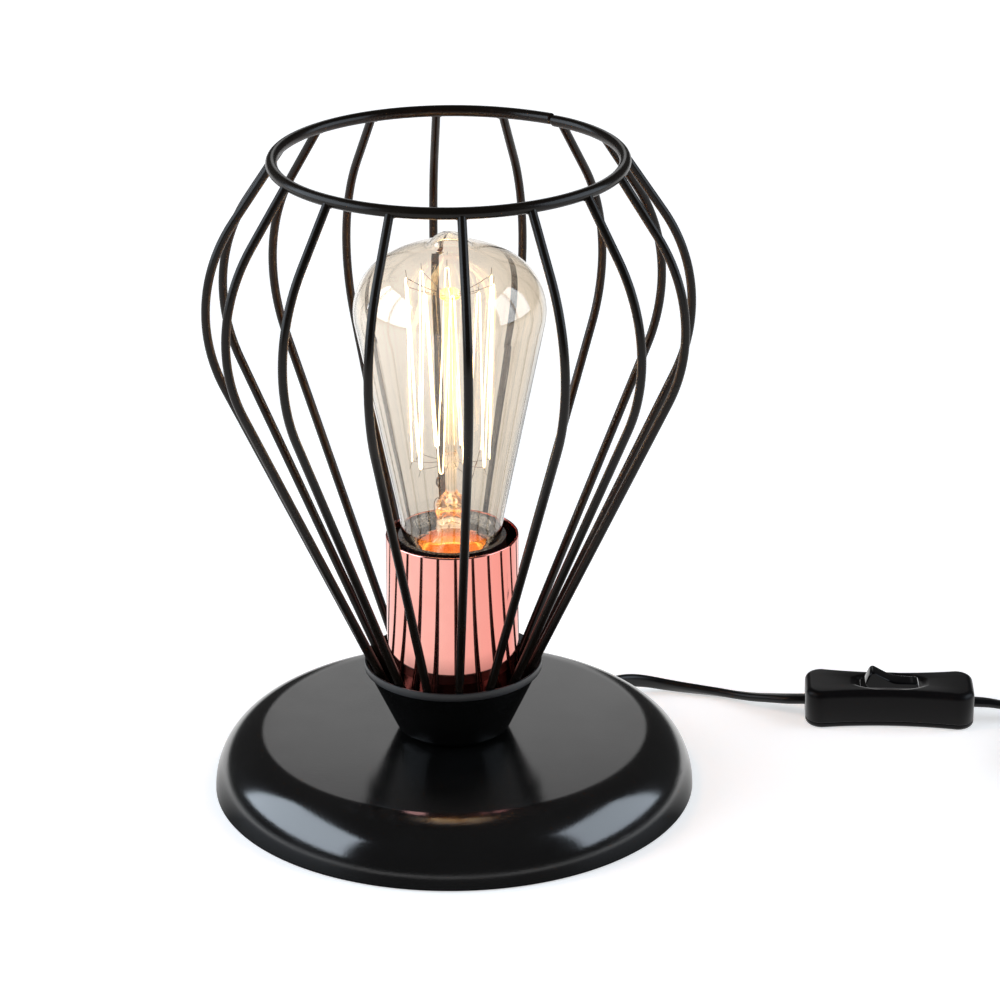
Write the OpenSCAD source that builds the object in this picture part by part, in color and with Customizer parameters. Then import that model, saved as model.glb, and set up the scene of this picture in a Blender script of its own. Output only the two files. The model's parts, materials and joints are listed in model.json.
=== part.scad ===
// Desk lamp: a weighted round base, a cup that holds a bulging wire cage and a
// lamp holder with a copper sleeve, a clear squirrel-cage bulb, and a flat cord
// with an in-line rocker switch. Millimetres, +Z up. The origin is the centre of
// the base's underside, and -Y faces the camera.

// Node to draw, or all

/* [Base] */
// Diameter of the base
base_d = 165; // [140:1:190]
// Height of the base's flat top
base_h = 20.5; // [16:0.5:30]
// Thickness of the spun sheet
base_wall = 1.5; // [1:0.1:2.5]
// Width of the rounded edge, seen from above
base_round_w = 17.5; // [10:0.5:24]
// Height of the rounded edge
base_round_h = 16.5; // [10:0.5:20]
// Width of the lip that turns in under the edge
base_lip_w = 8; // [4:0.5:14]
// Height of the lip above the floor
base_lip_z = 1.2; // [0.6:0.1:2]
// From the end of the flat top in to the edge of the iron weight
weight_gap = 4; // [2:0.5:24]
// Diameter of the hole in the iron weight
weight_hole_d = 44; // [30:1:70]
// Thickness of the iron weight
weight_t = 6.5; // [3:0.5:8]

/* [Threaded tube] */
// Diameter of the threaded tube
tube_d = 10; // [8:0.5:13]
// Bore of the threaded tube
tube_bore = 7; // [6:0.1:9]
// Width across the flats of its nut
nut_flats = 14; // [12:0.5:19]
// Height of its nut
nut_h = 3.5; // [2:0.1:5]
// Diameter of its washer
washer_d = 20; // [16:0.5:26]
// Thickness of its washer
washer_t = 1; // [0.6:0.1:2]

/* [Cup] */
// Height of the cup
cup_h = 26.2; // [20:0.1:34]
// Thickness of the cup's wall
cup_wall = 1; // [0.7:0.1:2]
// Height of the band round the cup's mouth
cup_band_h = 2.8; // [1.5:0.1:5]
// How far the band stands out from the cone
cup_band_out = 1; // [0.5:0.1:2]
// Radius of the turn between the cone and the floor
cup_turn_r = 5; // [2:0.5:7]

/* [Cage] */
// Diameter of a cage rod
rod_d = 3; // [2:0.1:4]
// Turn of the first rod away from the front, in degrees
rod_turn = 4.7; // [0:0.1:22]
// From the copper sleeve to a rod's middle, at the sleeve's lower edge
rod_gap = 7.6; // [7:0.1:9]
// Share of the widest bend that still meets the ring, taken for the bend at the belly
bend_share = 0.831; // [0.7:0.001:0.95]
// Diameter of the cage at the belly, through the rods' middles
belly_d = 160.6; // [145:0.1:175]
// Height of the belly
belly_z = 172; // [150:1:185]
// Diameter of the top ring, through the wire's middle
ring_d = 114.8; // [95:0.1:130]
// Height of the top ring's middle
ring_z = 223.7; // [210:0.1:240]
// Diameter of the top ring's wire
ring_wire_d = 4; // [3:0.1:5]
// How deep the rods reach into the cup
rod_reach = 13.5; // [8:0.5:18]

/* [Lamp holder] */
// Diameter of the neck tube
neck_d = 16; // [13:0.5:22]
// Height of the neck tube
neck_h = 12; // [9:0.5:18]
// Height of the lower cap
cap_h = 18; // [15:0.5:24]
// Diameter of the copper sleeve
sleeve_d = 45; // [42:0.5:52]
// Height of the copper sleeve
sleeve_h = 41.2; // [36:0.1:50]
// Thickness of the copper sleeve
sleeve_wall = 0.8; // [0.5:0.1:1.2]
// Diameter of the upper shell
shell_d = 36.6; // [35:0.1:40]
// Thickness of the moulded walls
mould_wall = 1.8; // [1.4:0.1:2.4]
// Thickness of the core
core_t = 5; // [4:0.1:6]
// Thickness of the brass parts
brass_t = 0.4; // [0.3:0.05:0.8]

/* [Bulb] */
// Greatest diameter of the glass
bulb_d = 64; // [60:0.5:70]
// Height of the greatest diameter above the cap button
bulb_belly_h = 110; // [100:0.5:120]
// Height of the crown above the greatest diameter
crown_h = 23.4; // [22:0.1:28]
// Radius of the glass beside the greatest diameter
side_r = 20; // [16:0.5:21]
// Lean of the tapered glass, in degrees
glass_lean = 11.5; // [9:0.5:14]
// Height of the pip on the crown
pip_h = 2.8; // [1:0.1:4]
// Radius of the pip
pip_r = 9; // [6:0.5:12]
// Thickness of the glass
glass_wall = 1; // [0.6:0.1:1.4]
// Diameter of the screw cap
screw_d = 26.2; // [26:0.05:26.4]
// Height of the screw cap, button included
screw_h = 27; // [25:0.5:29]
// Strands of the filament, in pairs
filament_pairs = 9; // [6:1:12]
// Diameter of the cage of filament at the top
filament_top_d = 29.6; // [24:0.1:34]
// Diameter of the cage of filament at the bottom
filament_low_d = 26; // [20:0.1:30]
// Diameter of the filament
filament_wire_d = 0.5; // [0.3:0.05:0.8]

/* [Switch] */
// Length of the switch
switch_l = 60; // [50:1:75]
// Width of the switch at its ends
switch_w = 23; // [20:0.5:28]
// How far each side draws in at the waist
switch_waist = 2.2; // [0.5:0.1:3]
// Height of the switch's housing
switch_h = 13; // [11:0.5:18]
// Radius of the corners, seen from above
switch_corner_r = 6; // [3:0.5:8]
// Height of the seam between the two housings
switch_seam_z = 2.4; // [2:0.1:6]
// Rounding of the upper edge
switch_edge_r = 2.4; // [1:0.1:3]
// Length of the oval recess round the rocker
recess_l = 29; // [26:0.5:34]
// Width of the oval recess
recess_w = 14.4; // [13:0.1:16]
// Depth of the oval recess
recess_depth = 1.2; // [0.6:0.1:2]
// Length of the rocker
rocker_l = 21.2; // [18:0.1:24]
// Width of the rocker
rocker_w = 8; // [6:0.1:10]
// Height of the rocker's ridges above its pin
rocker_rise = 7.5; // [6:0.1:9]
// Tilt of the rocker to each side, in degrees
rocker_tilt = 15; // [10:1:18]
// Diameter of the rocker's pin
pin_d = 2; // [1.5:0.1:2.5]

/* [Cord and plug] */
// Width of the flat cord
cord_w = 5; // [4:0.1:6]
// Thickness of the flat cord
cord_t = 3; // [2.4:0.1:3.6]
// Direction in which the cord leaves the base, in degrees from +X
exit_angle = 48; // [30:1:70]
// Height at which the cord leaves the base
exit_z = 7; // [6:0.5:9]
// Diameter of the grommet's flange
grommet_d = 9.2; // [8:0.1:12]
// Radius of the coil at its outermost turn
coil_out_r = 36.8; // [30:0.1:45]
// Turns in each layer of the coil
coil_layer_turns = 4.375; // [3.375:1:6.375]
// Distance between one turn and the next
coil_pitch = 3.7; // [3.5:0.1:5]
// Distance between the coil's layers
coil_rise = 5.6; // [5.5:0.1:7]
// Width of the plug
plug_w = 35.3; // [30:0.1:40]
// Thickness of the plug
plug_t = 13.7; // [12:0.1:16]
// Width of the plug's flat sides
plug_flat_w = 26.1; // [20:0.1:30]
// Length of the plug's straight part
plug_l = 12; // [10:0.5:20]
// Diameter of a plug pin
plug_pin_d = 4; // [3.5:0.1:5]
// Length of a plug pin
plug_pin_l = 19; // [15:0.5:22]
// Distance between the plug pins
plug_pin_gap = 19; // [15:0.5:22]

/* [Hidden] */
$fn = 64;
over = 1;                 // how far a cut runs past what it cuts
seat = 0.05;              // gap between round pieces that seat on each other
fit = 0.1;                // gap between turned pieces that slide together
run_gap = 0.05;           // running clearance round the rocker's pin
end_gap = 0.3;            // gap between the bulb's button and the contact under it
free = 0.4;               // clearance round what swings or hangs beside a wall
rod_count = 16;           // rods, one node each
arc_steps = 10;           // straight steps in the arc of an outline

// Base, worked out
base_r = base_d / 2;
base_flat_r = base_r - base_round_w;
base_edge_z = base_h - base_round_h;
base_inner_top = base_h - base_wall;
edge_power_share = 1.1;   // exponent of the edge: 1 would be a quarter ellipse
pad_r = base_r - base_lip_w / 2;
weight_r = base_flat_r - weight_gap;

// Threaded tube, cup and holder, stacked on the base
washer_z = base_inner_top - washer_t;
nut_z = washer_z - nut_h;
tube_low_z = nut_z - washer_t;
cup_floor_z = base_h + cup_wall;
cup_top_z = base_h + cup_h;
neck_top_z = cup_floor_z + neck_h;
cap_top_z = neck_top_z + cap_h;
cap_throat_h = cap_h / 3;
tube_top_z = neck_top_z + cap_throat_h;
sleeve_top_z = cap_top_z + sleeve_h;
sleeve_r = sleeve_d / 2;
cap_r = sleeve_r - sleeve_wall - fit;
shell_r = shell_d / 2;
shell_top_z = sleeve_top_z - mould_wall / 4;
shell_low_z = cap_top_z - cap_h / 3;
shell_flange_z = cap_top_z + sleeve_wall;
core_r = shell_r - mould_wall;
ledge_z = shell_low_z + cap_h / 3 + mould_wall;
core_z = ledge_z + mould_wall;
core_top_z = core_z + core_t;
button_z = core_top_z + core_t * 0.4;
screw_r = screw_d / 2;
thread_r = screw_r + fit;
terminal_w = 6;
terminal_h = 5.5;
terminal_x = 8;
lead_r = 1.1;
rivet_r = 0.8;
live_rivet_x = terminal_x + 1.5 * lead_r;
shell_rivet_x = thread_r - 1.5 * rivet_r;
shell_tab_r = thread_r - 2.4 * rivet_r;
small_screw_r = 1.2;
small_head_r = 2.4;
small_head_h = 1.4;

// Wiring inside, worked out: the cord runs from the grommet to the axis, bends up and climbs
// the threaded tube. Each row is the distance from the axis, the height and the section's turn.
cord_sides = 10;
grommet_r = grommet_d / 2;
grommet_out = 1.5;
grommet_neck_r = 3.6;
exit_r = base_r + grommet_out;
exit_dir = [cos(exit_angle), sin(exit_angle), 0];
exit_across = [-sin(exit_angle), cos(exit_angle), 0];
cord_exit = exit_r * exit_dir + [0, 0, exit_z];
climb_r = 8;
inner_top_z = tube_top_z + small_head_h / 2;
inner_rows = concat(
    [[exit_r, exit_z, 90], [exit_r - 2 * grommet_r, exit_z, 90], [exit_r - 4 * grommet_r, exit_z, 65],
     [exit_r - 6 * grommet_r, exit_z, 40], [exit_r - 8 * grommet_r, exit_z, 20], [4 * climb_r, exit_z, 0],
     [2 * climb_r, exit_z, 0]],
    [for (i = [0 : 4]) [climb_r - climb_r * sin(22.5 * i), exit_z + climb_r * (1 - cos(22.5 * i)), 0]],
    [[0, inner_top_z, 0]]);

// Cage, worked out: a lower leg, a bend and an upper leg that aims at the ring
rod_r = rod_d / 2;
belly_r = belly_d / 2;
ring_r = ring_d / 2;
ring_wire_r = ring_wire_d / 2;
ring_in = belly_r - ring_r;
ring_up = ring_z - belly_z;
bend_r = bend_share * (ring_in * ring_in + ring_up * ring_up) / (2 * ring_in);
bend_x = belly_r - bend_r;
foot_to_bend = [bend_x - sleeve_r - rod_gap, belly_z - cap_top_z];
rod_lean = atan2(foot_to_bend[0], foot_to_bend[1]) + asin(bend_r / norm(foot_to_bend));
bend_to_ring = norm([ring_r - bend_x, ring_z - belly_z]);
ring_bearing = atan2(ring_z - belly_z, ring_r - bend_x);
upper_lean = ring_bearing - acos(bend_r / bend_to_ring);
bend_low = [bend_x + bend_r * cos(rod_lean), belly_z - bend_r * sin(rod_lean)];
rod_foot_z = cup_top_z - rod_reach;
bend_steps = 8;
rod_sides = 10;
function rod_line_r(z) = bend_low[0] - (bend_low[1] - z) * tan(rod_lean);
function cup_inner_r(z) = rod_line_r(z) + (rod_r + seat) / cos(rod_lean);
cup_slant = cup_wall / cos(rod_lean);

// Bulb, worked out from the underside of its cap button
bulb_r = bulb_d / 2;
neck_glass_r = screw_r - brass_t - fit - glass_wall;
side_x = bulb_r - side_r;
crown_spare = crown_h - side_r;
crown_drop = (side_x * side_x - crown_spare * crown_spare) / (2 * crown_spare);
crown_r = crown_h + crown_drop;
crown_z = bulb_belly_h - crown_drop;
side_end = atan2(crown_drop, side_x);
pip_z = bulb_belly_h + crown_h + pip_h - pip_r;
pip_meet_z = (crown_r * crown_r - pip_r * pip_r + pip_z * pip_z - crown_z * crown_z)
    / (2 * (pip_z - crown_z));
crown_end = asin((pip_meet_z - crown_z) / crown_r);
pip_start = asin((pip_meet_z - pip_z) / pip_r);
glass_low_z = screw_h - 5 * glass_wall;
shoulder_shares = [[0.26, 0.03], [0.5, 0.12], [0.7, 0.28], [0.86, 0.45], [0.96, 0.65], [1, 1]];
shoulder_h = 10;
shoulder_top_z = screw_h + shoulder_h;
shoulder_r = bulb_r - side_r * (1 - cos(glass_lean))
    - (bulb_belly_h - side_r * sin(glass_lean) - shoulder_top_z) * tan(glass_lean);
stem_r = 5;
stem_wall = 1;
stem_z = screw_h + shoulder_h;
pinch_h = 7;
pinch_t = 3.6;
stem_rod_r = 1.6;
low_bead_z = bulb_belly_h * 0.52;
low_bead_r = 2.8;
top_bead_z = bulb_belly_h * 1.055;
top_bead_r = 3.2;
hook_r = 0.2;
lead_wire_r = 0.35;
filament_top_z = top_bead_z + 1.1 * top_bead_r;
filament_low_z = low_bead_z + filament_wire_d;
filament_turn_w = 1.1;

// Switch, worked out: its own frame has X along the cord and Z up
switch_pos = [155.5, 48.9, 0];
switch_yaw = -3;
switch_mid_z = switch_h / 2;
edge_turn = 18;
rocker_pin_z = switch_h - 3 * pin_d / 2;
window_l = rocker_l + 4 * free;
window_w = rocker_w + 2 * free;
pin_l = window_w + 3 * pin_d;
entry_depth = 5;
outline_steps = 6;

// Cord and plug, worked out
coil_pos = [238, 9.2, 0];
tie_t = 0.6;
tie_w = 5;
coil_z = tie_t + seat + cord_w / 2;
coil_turns = 2 * coil_layer_turns + 0.5;
coil_rings = 24;
coil_in_r = coil_out_r - coil_pitch * coil_layer_turns;
coil_dip = 2.4;           // how far the climbing half turn swings inside the layers
plug_mid_z = plug_t / 2;
plug_edge_share = 0.32;
plug_taper = 16;
plug_tail_l = 14;
plug_tail_r = 4.6;
plug_pos = [coil_pos[0] + coil_out_r, -26, plug_mid_z];

// Colours
black = [0.05, 0.05, 0.055];
copper = [0.86, 0.52, 0.44];
brass = [0.78, 0.62, 0.30];
steel = [0.62, 0.62, 0.64];
clear = [0.85, 0.80, 0.70, 0.4];
glow = [1.0, 0.75, 0.35];

// Points of an arc in an outline
function arc_points(centre, r, from, to, steps) =
    [for (i = [0 : steps]) let (a = from + (to - from) * i / steps)
        [centre[0] + r * cos(a), centre[1] + r * sin(a)]];

function unit(v) = v / norm(v);

function sum_of(list) = list * [for (x = list) 1];

// Section of the flat cord, turned about its run by an angle
function cord_section(turn, sides) =
    [for (i = [0 : sides - 1]) let (a = 360 * i / sides, x = cos(a) * cord_w / 2, y = sin(a) * cord_t / 2)
        [x * cos(turn) - y * sin(turn), x * sin(turn) + y * cos(turn)]];

function round_section(r, sides) =
    [for (i = [0 : sides - 1]) [r * cos(360 * i / sides), r * sin(360 * i / sides)]];

// Skin over rings that all have the same number of points
module skin(rings) {
    sides = len(rings[0]);
    last = len(rings) - 1;
    points = [for (ring = rings) for (p = ring) p];
    walls = [for (i = [0 : last - 1]) for (j = [0 : sides - 1]) let (k = (j + 1) % sides)
        each [[i * sides + j, i * sides + k, (i + 1) * sides + k],
              [i * sides + j, (i + 1) * sides + k, (i + 1) * sides + j]]];
    low_end = [for (j = [0 : sides - 1]) sides - 1 - j];
    high_end = [for (j = [0 : sides - 1]) last * sides + j];
    polyhedron(points = points, faces = concat(walls, [low_end, high_end]), convexity = 6);
}

// Rings of a tube: points are a route, across gives the section's X at each point
function run_at(p, i) = unit(p[min(i + 1, len(p) - 1)] - p[max(i - 1, 0)]);

function tube_rings(p, across, sections) =
    [for (i = [0 : len(p) - 1])
        let (t = run_at(p, i), x = unit(across[i] - (across[i] * t) * t), y = cross(t, x))
        [for (s = sections[i]) p[i] - x * s[0] + y * s[1]]];

function level_across(p) = [for (i = [0 : len(p) - 1]) cross([0, 0, 1], run_at(p, i))];

// A tube of the flat cord: each row of a route is x, y, z and the section's turn
module flat_cord(route, sides) {
    p = [for (row = route) [row[0], row[1], row[2]]];
    skin(tube_rings(p, level_across(p), [for (row = route) cord_section(row[3], sides)]));
}

// A straight round wire from one point to another
module wire(from, to, r) {
    run = to - from;
    translate(from)
        rotate([0, acos(run[2] / norm(run)), atan2(run[1], run[0])])
            cylinder(r = r, h = norm(run), $fn = 12);
}

// BASE

function base_edge(inset) =
    [for (i = [0 : 2 * arc_steps]) let (a = 45 * i / arc_steps)
        [base_flat_r + (base_round_w - inset) * pow(cos(a), edge_power_share),
         base_edge_z + (base_round_h - inset) * pow(sin(a), edge_power_share)]];

function base_solid_outline(inset, low) =
    concat([[0, low], [base_r - inset, low]], base_edge(inset), [[0, base_h - inset]]);

module base_shell() {
    color(black)
        difference() {
            rotate_extrude()
                difference() {
                    polygon(base_solid_outline(0, base_lip_z));
                    polygon(base_solid_outline(base_wall, base_lip_z + base_wall));
                    square([base_r - base_lip_w, base_lip_z + base_wall + over]);
                }
            translate([0, 0, base_inner_top - over])
                cylinder(d = tube_d + 2 * fit, h = base_wall + 2 * over);
            rotate([0, 0, exit_angle])
                translate([base_r - grommet_r - over, 0, exit_z])
                    rotate([0, 90, 0])
                        cylinder(r = grommet_neck_r + seat, h = grommet_r + 2 * over);
        }
}

module base_pad() {
    color(black)
        cylinder(r = pad_r, h = base_lip_z);
}

module base_weight() {
    color(steel)
        translate([0, 0, base_inner_top - weight_t])
            difference() {
                cylinder(r = weight_r, h = weight_t);
                translate([0, 0, -over])
                    cylinder(d = weight_hole_d, h = weight_t + 2 * over);
            }
}

module base_washer() {
    color(steel)
        translate([0, 0, washer_z])
            difference() {
                cylinder(d = washer_d, h = washer_t);
                translate([0, 0, -over])
                    cylinder(d = tube_d + 2 * fit, h = washer_t + 2 * over);
            }
}

module base_nut() {
    color(steel)
        translate([0, 0, nut_z])
            difference() {
                cylinder(d = nut_flats / cos(30), h = nut_h, $fn = 6);
                translate([0, 0, -over])
                    cylinder(d = tube_d + 2 * seat, h = nut_h + 2 * over);
            }
}

module threaded_tube() {
    color(steel)
        translate([0, 0, tube_low_z])
            difference() {
                cylinder(d = tube_d, h = tube_top_z - tube_low_z);
                translate([0, 0, -over])
                    cylinder(d = tube_bore, h = tube_top_z - tube_low_z + 2 * over);
            }
}

module cord_grommet() {
    inner_x = base_r - grommet_r - over;
    color(black)
        rotate([0, 0, exit_angle])
            difference() {
                union() {
                    difference() {
                        translate([base_r - 2 * grommet_out, 0, exit_z])
                            rotate([0, 90, 0])
                                cylinder(r1 = grommet_r, r2 = (grommet_r + grommet_neck_r) / 2,
                                    h = 3 * grommet_out);
                        rotate_extrude()
                            polygon(base_solid_outline(-seat, base_lip_z));
                    }
                    translate([inner_x, 0, exit_z])
                        rotate([0, 90, 0])
                            cylinder(r = grommet_neck_r, h = exit_r - inner_x);
                }
                translate([inner_x - over, 0, exit_z])
                    rotate([0, 90, 0])
                        linear_extrude(exit_r - inner_x + 2 * over)
                            scale([(cord_w + 2 * seat) / cord_w, (cord_t + 2 * seat) / cord_t])
                                polygon(cord_section(0, cord_sides));
            }
}

// CUP

module cup() {
    cone_low_z = base_h + cup_turn_r * (1 - sin(rod_lean));
    cone_low_r = cup_inner_r(cone_low_z) + cup_slant;
    turn_x = cone_low_r - cup_turn_r * cos(rod_lean);
    band_z = cup_top_z - cup_band_h;
    band_r = cup_inner_r(band_z) + cup_slant + cup_band_out;
    outside = concat([[0, base_h], [turn_x, base_h]],
        arc_points([turn_x, base_h + cup_turn_r], cup_turn_r, -90, -rod_lean, arc_steps),
        [[cup_inner_r(band_z) + cup_slant, band_z], [band_r, band_z], [band_r, cup_top_z], [0, cup_top_z]]);
    inside = concat([[0, cup_floor_z], [turn_x, cup_floor_z]],
        arc_points([turn_x, base_h + cup_turn_r], cup_turn_r - cup_wall, -90, -rod_lean, arc_steps),
        [[cup_inner_r(cup_top_z + over), cup_top_z + over], [0, cup_top_z + over]]);
    color(black)
        rotate_extrude()
            difference() {
                polygon(outside);
                polygon(inside);
                square([tube_d / 2 + fit, cup_floor_z + over]);
            }
}

// CAGE

// A rod's route in the plane of X and Z: up its lower leg, round its bend and on to the ring
function rod_route() =
    concat([[rod_line_r(rod_foot_z), 0, rod_foot_z]],
        [for (i = [0 : bend_steps]) let (a = -rod_lean + (rod_lean + upper_lean) * i / bend_steps)
            [bend_x + bend_r * cos(a), 0, belly_z + bend_r * sin(a)]],
        [[ring_r, 0, ring_z]]);

module cage_rod(number) {
    p = rod_route();
    color(black)
        rotate([0, 0, rod_turn - 90 + 360 * (number - 1) / rod_count])
            difference() {
                skin(tube_rings(p, [for (q = p) [0, 1, 0]], [for (q = p) round_section(rod_r, rod_sides)]));
                rotate_extrude()
                    translate([ring_r, ring_z])
                        circle(r = ring_wire_r + seat);
            }
}

module top_ring() {
    color(black)
        rotate_extrude()
            translate([ring_r, ring_z])
                circle(r = ring_wire_r);
}

// LAMP HOLDER

module neck_tube() {
    color(black)
        translate([0, 0, cup_floor_z])
            difference() {
                cylinder(d = neck_d, h = neck_h);
                translate([0, 0, -over])
                    cylinder(d = tube_d + 2 * fit, h = neck_h + 2 * over);
            }
}

module holder_cap() {
    throat_r = neck_d / 2;
    dome_z = neck_top_z + cap_throat_h * 0.6;
    dome_h = cap_h / 2;
    hollow_z = tube_top_z;
    outside = concat([[0, neck_top_z], [throat_r, neck_top_z], [throat_r, dome_z]],
        [for (i = [1 : arc_steps]) let (a = 90 * i / arc_steps)
            [throat_r + (cap_r - throat_r) * sin(a), dome_z + dome_h * (1 - cos(a))]],
        [[cap_r, cap_top_z], [0, cap_top_z]]);
    inside = [[0, hollow_z], [throat_r - fit, hollow_z], [cap_r - 3 * mould_wall, dome_z + dome_h * 0.75],
        [shell_r - mould_wall, shell_low_z], [shell_r + fit, shell_low_z],
        [shell_r + fit, cap_top_z + over], [0, cap_top_z + over]];
    color(black)
        rotate_extrude()
            difference() {
                polygon(outside);
                polygon(inside);
                square([tube_d / 2 + seat, cap_top_z]);
            }
}

module holder_shell() {
    outside = [[0, shell_low_z + seat], [shell_r, shell_low_z + seat], [shell_r, shell_flange_z],
        [cap_r, shell_flange_z], [cap_r, shell_flange_z + mould_wall],
        [shell_r, shell_flange_z + 2 * mould_wall],
        [shell_r, shell_top_z], [0, shell_top_z]];
    ledge_r = core_r - 1.5 * mould_wall * 0.7;
    inside = [[0, shell_low_z - over], [ledge_r, shell_low_z - over], [ledge_r, core_z],
        [core_r, core_z], [core_r, shell_top_z + over], [0, shell_top_z + over]];
    color(black)
        rotate_extrude()
            difference() {
                polygon(outside);
                polygon(inside);
            }
}

module holder_sleeve() {
    lip_r = shell_r + fit;
    color(copper)
        rotate_extrude()
            difference() {
                translate([lip_r, cap_top_z])
                    square([sleeve_r - lip_r, sleeve_h]);
                translate([0, shell_flange_z])
                    square([sleeve_r - sleeve_wall, sleeve_h]);
            }
}

// Places a piece on the axis of the two terminals, one to each side
module on_terminal(side) {
    rotate([0, 0, exit_angle + 90 + (side > 0 ? 0 : 180)])
        children();
}

module holder_core() {
    color(black)
        difference() {
            translate([0, 0, core_z])
                cylinder(r = core_r - fit, h = core_t);
            on_terminal(1)
                translate([live_rivet_x, 0, core_z - over])
                    cylinder(r = rivet_r + seat, h = core_t + 2 * over);
            on_terminal(-1)
                translate([shell_rivet_x, 0, core_z - over])
                    cylinder(r = rivet_r + seat, h = core_t + 2 * over);
        }
}

module screw_shell() {
    shell_h = screw_h - core_t - 5 * brass_t;
    color(brass) {
        translate([0, 0, core_top_z])
            difference() {
                cylinder(r = thread_r + brass_t, h = shell_h);
                translate([0, 0, brass_t])
                    cylinder(r = thread_r, h = shell_h);
                translate([0, 0, -over])
                    cylinder(r = shell_tab_r, h = shell_h);
            }
        on_terminal(-1)
            translate([shell_rivet_x, 0, core_z])
                cylinder(r = rivet_r, h = core_t + brass_t);
    }
}

module centre_contact() {
    tongue_l = live_rivet_x + rivet_r;
    tongue_w = 4;
    tip_z = button_z - end_gap - core_top_z;
    color(brass)
        on_terminal(1) {
            translate([0, tongue_w / 2, core_top_z])
                rotate([90, 0, 0])
                    linear_extrude(tongue_w)
                        polygon([[tongue_l, 0], [tongue_l, brass_t], [tongue_l / 2, brass_t],
                            [tongue_l / 4, tip_z],
                            [-tongue_l / 4, tip_z], [-tongue_l / 4, tip_z - brass_t],
                            [tongue_l / 4 - brass_t / 2, tip_z - brass_t], [tongue_l / 2 - brass_t / 2, 0]]);
            translate([live_rivet_x, 0, core_z])
                cylinder(r = rivet_r, h = core_t + brass_t);
        }
}

module terminal() {
    difference() {
        translate([terminal_x, -terminal_w / 2, core_z - terminal_h])
            cube([terminal_w, terminal_w, terminal_h]);
        translate([terminal_x + terminal_w / 2, 0, core_z - terminal_h - over])
            cylinder(r = small_screw_r + seat, h = terminal_h / 2 + over);
    }
}

module live_terminal() {
    color(brass)
        on_terminal(1)
            terminal();
}

module neutral_terminal() {
    color(brass)
        on_terminal(-1)
            terminal();
}

module terminal_screws() {
    color(steel)
        for (side = [-1, 1])
            on_terminal(side)
                translate([terminal_x + terminal_w / 2, 0, core_z - terminal_h - small_head_h]) {
                    cylinder(r = small_head_r, h = small_head_h);
                    cylinder(r = small_screw_r, h = small_head_h + terminal_h * 0.45);
                }
}

// BULB

function shoulder_points() =
    let (low_r = neck_glass_r + glass_wall)
    [for (s = shoulder_shares) [low_r + (shoulder_r - low_r) * s[0], screw_h + shoulder_h * s[1]]];

function glass_outline() =
    concat([[neck_glass_r + glass_wall, glass_low_z], [neck_glass_r + glass_wall, screw_h]],
        shoulder_points(),
        arc_points([side_x, bulb_belly_h], side_r, -glass_lean, side_end, arc_steps),
        arc_points([0, crown_z], crown_r, side_end, crown_end, arc_steps),
        [for (a = [1 : arc_steps / 2]) let (b = pip_start + (90 - pip_start) * a / (arc_steps / 2))
            [b == 90 ? 0 : pip_r * cos(b), pip_z + pip_r * sin(b)]]);

// The same outline moved in by the glass's thickness, and closed on the axis
function inside_outline(p, wall) =
    concat([for (i = [0 : len(p) - 2]) let (t = run_at(p, i)) p[i] - wall * [t[1], -t[0]]],
        [p[len(p) - 1] - [0, wall]]);

module bulb_glass() {
    outside = glass_outline();
    inside = inside_outline(outside, glass_wall);
    color(clear)
        translate([0, 0, button_z])
            rotate_extrude()
                polygon(concat(outside, [for (i = [len(inside) - 1 : -1 : 0]) inside[i]]));
}

module bulb_stem() {
    flare_r = neck_glass_r - seat;
    flare_z = glass_low_z + glass_wall;
    outside = [[0, flare_z], [flare_r, flare_z], [flare_r - stem_wall, flare_z + stem_wall],
        [stem_r, (flare_z + stem_z) / 2], [stem_r, stem_z], [0, stem_z]];
    inside = [[0, flare_z - over], [flare_r - stem_wall, flare_z - over],
        [stem_r - stem_wall, (flare_z + stem_z) / 2], [stem_r - stem_wall, stem_z - stem_wall],
        [0, stem_z - stem_wall]];
    color(clear)
        translate([0, 0, button_z]) {
            rotate_extrude()
                difference() {
                    polygon(outside);
                    polygon(inside);
                }
            translate([-pinch_t / 2, -stem_r, stem_z])
                cube([pinch_t, 2 * stem_r, pinch_h]);
            cylinder_from(stem_z + pinch_h, top_bead_z, stem_rod_r);
            translate([0, 0, low_bead_z])
                sphere(r = low_bead_r, $fn = 32);
            cylinder_from(top_bead_z - top_bead_r / 2, top_bead_z + top_bead_r / 2, top_bead_r);
        }
}

module cylinder_from(low, high, r) {
    translate([0, 0, low])
        cylinder(r = r, h = high - low, $fn = 32);
}

function ring_point(r, a, z) = [r * cos(a), r * sin(a), z];

// The route of the filament: up and down between two rings, with a small turn at each end
function filament_route() =
    let (step = 360 / (filament_pairs + 1), top_r = filament_top_d / 2, low_r = filament_low_d / 2,
        top_half = filament_turn_w / 2 * 180 / PI / top_r, low_half = filament_turn_w / 2 * 180 / PI / low_r)
    [for (i = [0 : filament_pairs - 1]) let (a = step * (i + 0.5), b = a + step / 2, c = a + step)
        each concat(i == 0 ? [ring_point(low_r, a, filament_low_z)] : [],
            [ring_point(top_r, b - top_half, filament_top_z),
             ring_point(top_r, b, filament_top_z + filament_turn_w / 2),
             ring_point(top_r, b + top_half, filament_top_z),
             ring_point(low_r, c - low_half, filament_low_z)],
            i < filament_pairs - 1 ? [ring_point(low_r, c, filament_low_z - filament_turn_w / 2),
             ring_point(low_r, c + low_half, filament_low_z)] : [])];

module bulb_filament() {
    p = filament_route();
    outward = [for (q = p) [q[0], q[1], 0]];
    color(glow)
        translate([0, 0, button_z])
            skin(tube_rings(p, outward, [for (q = p) round_section(filament_wire_d / 2, 4)]));
}

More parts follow.
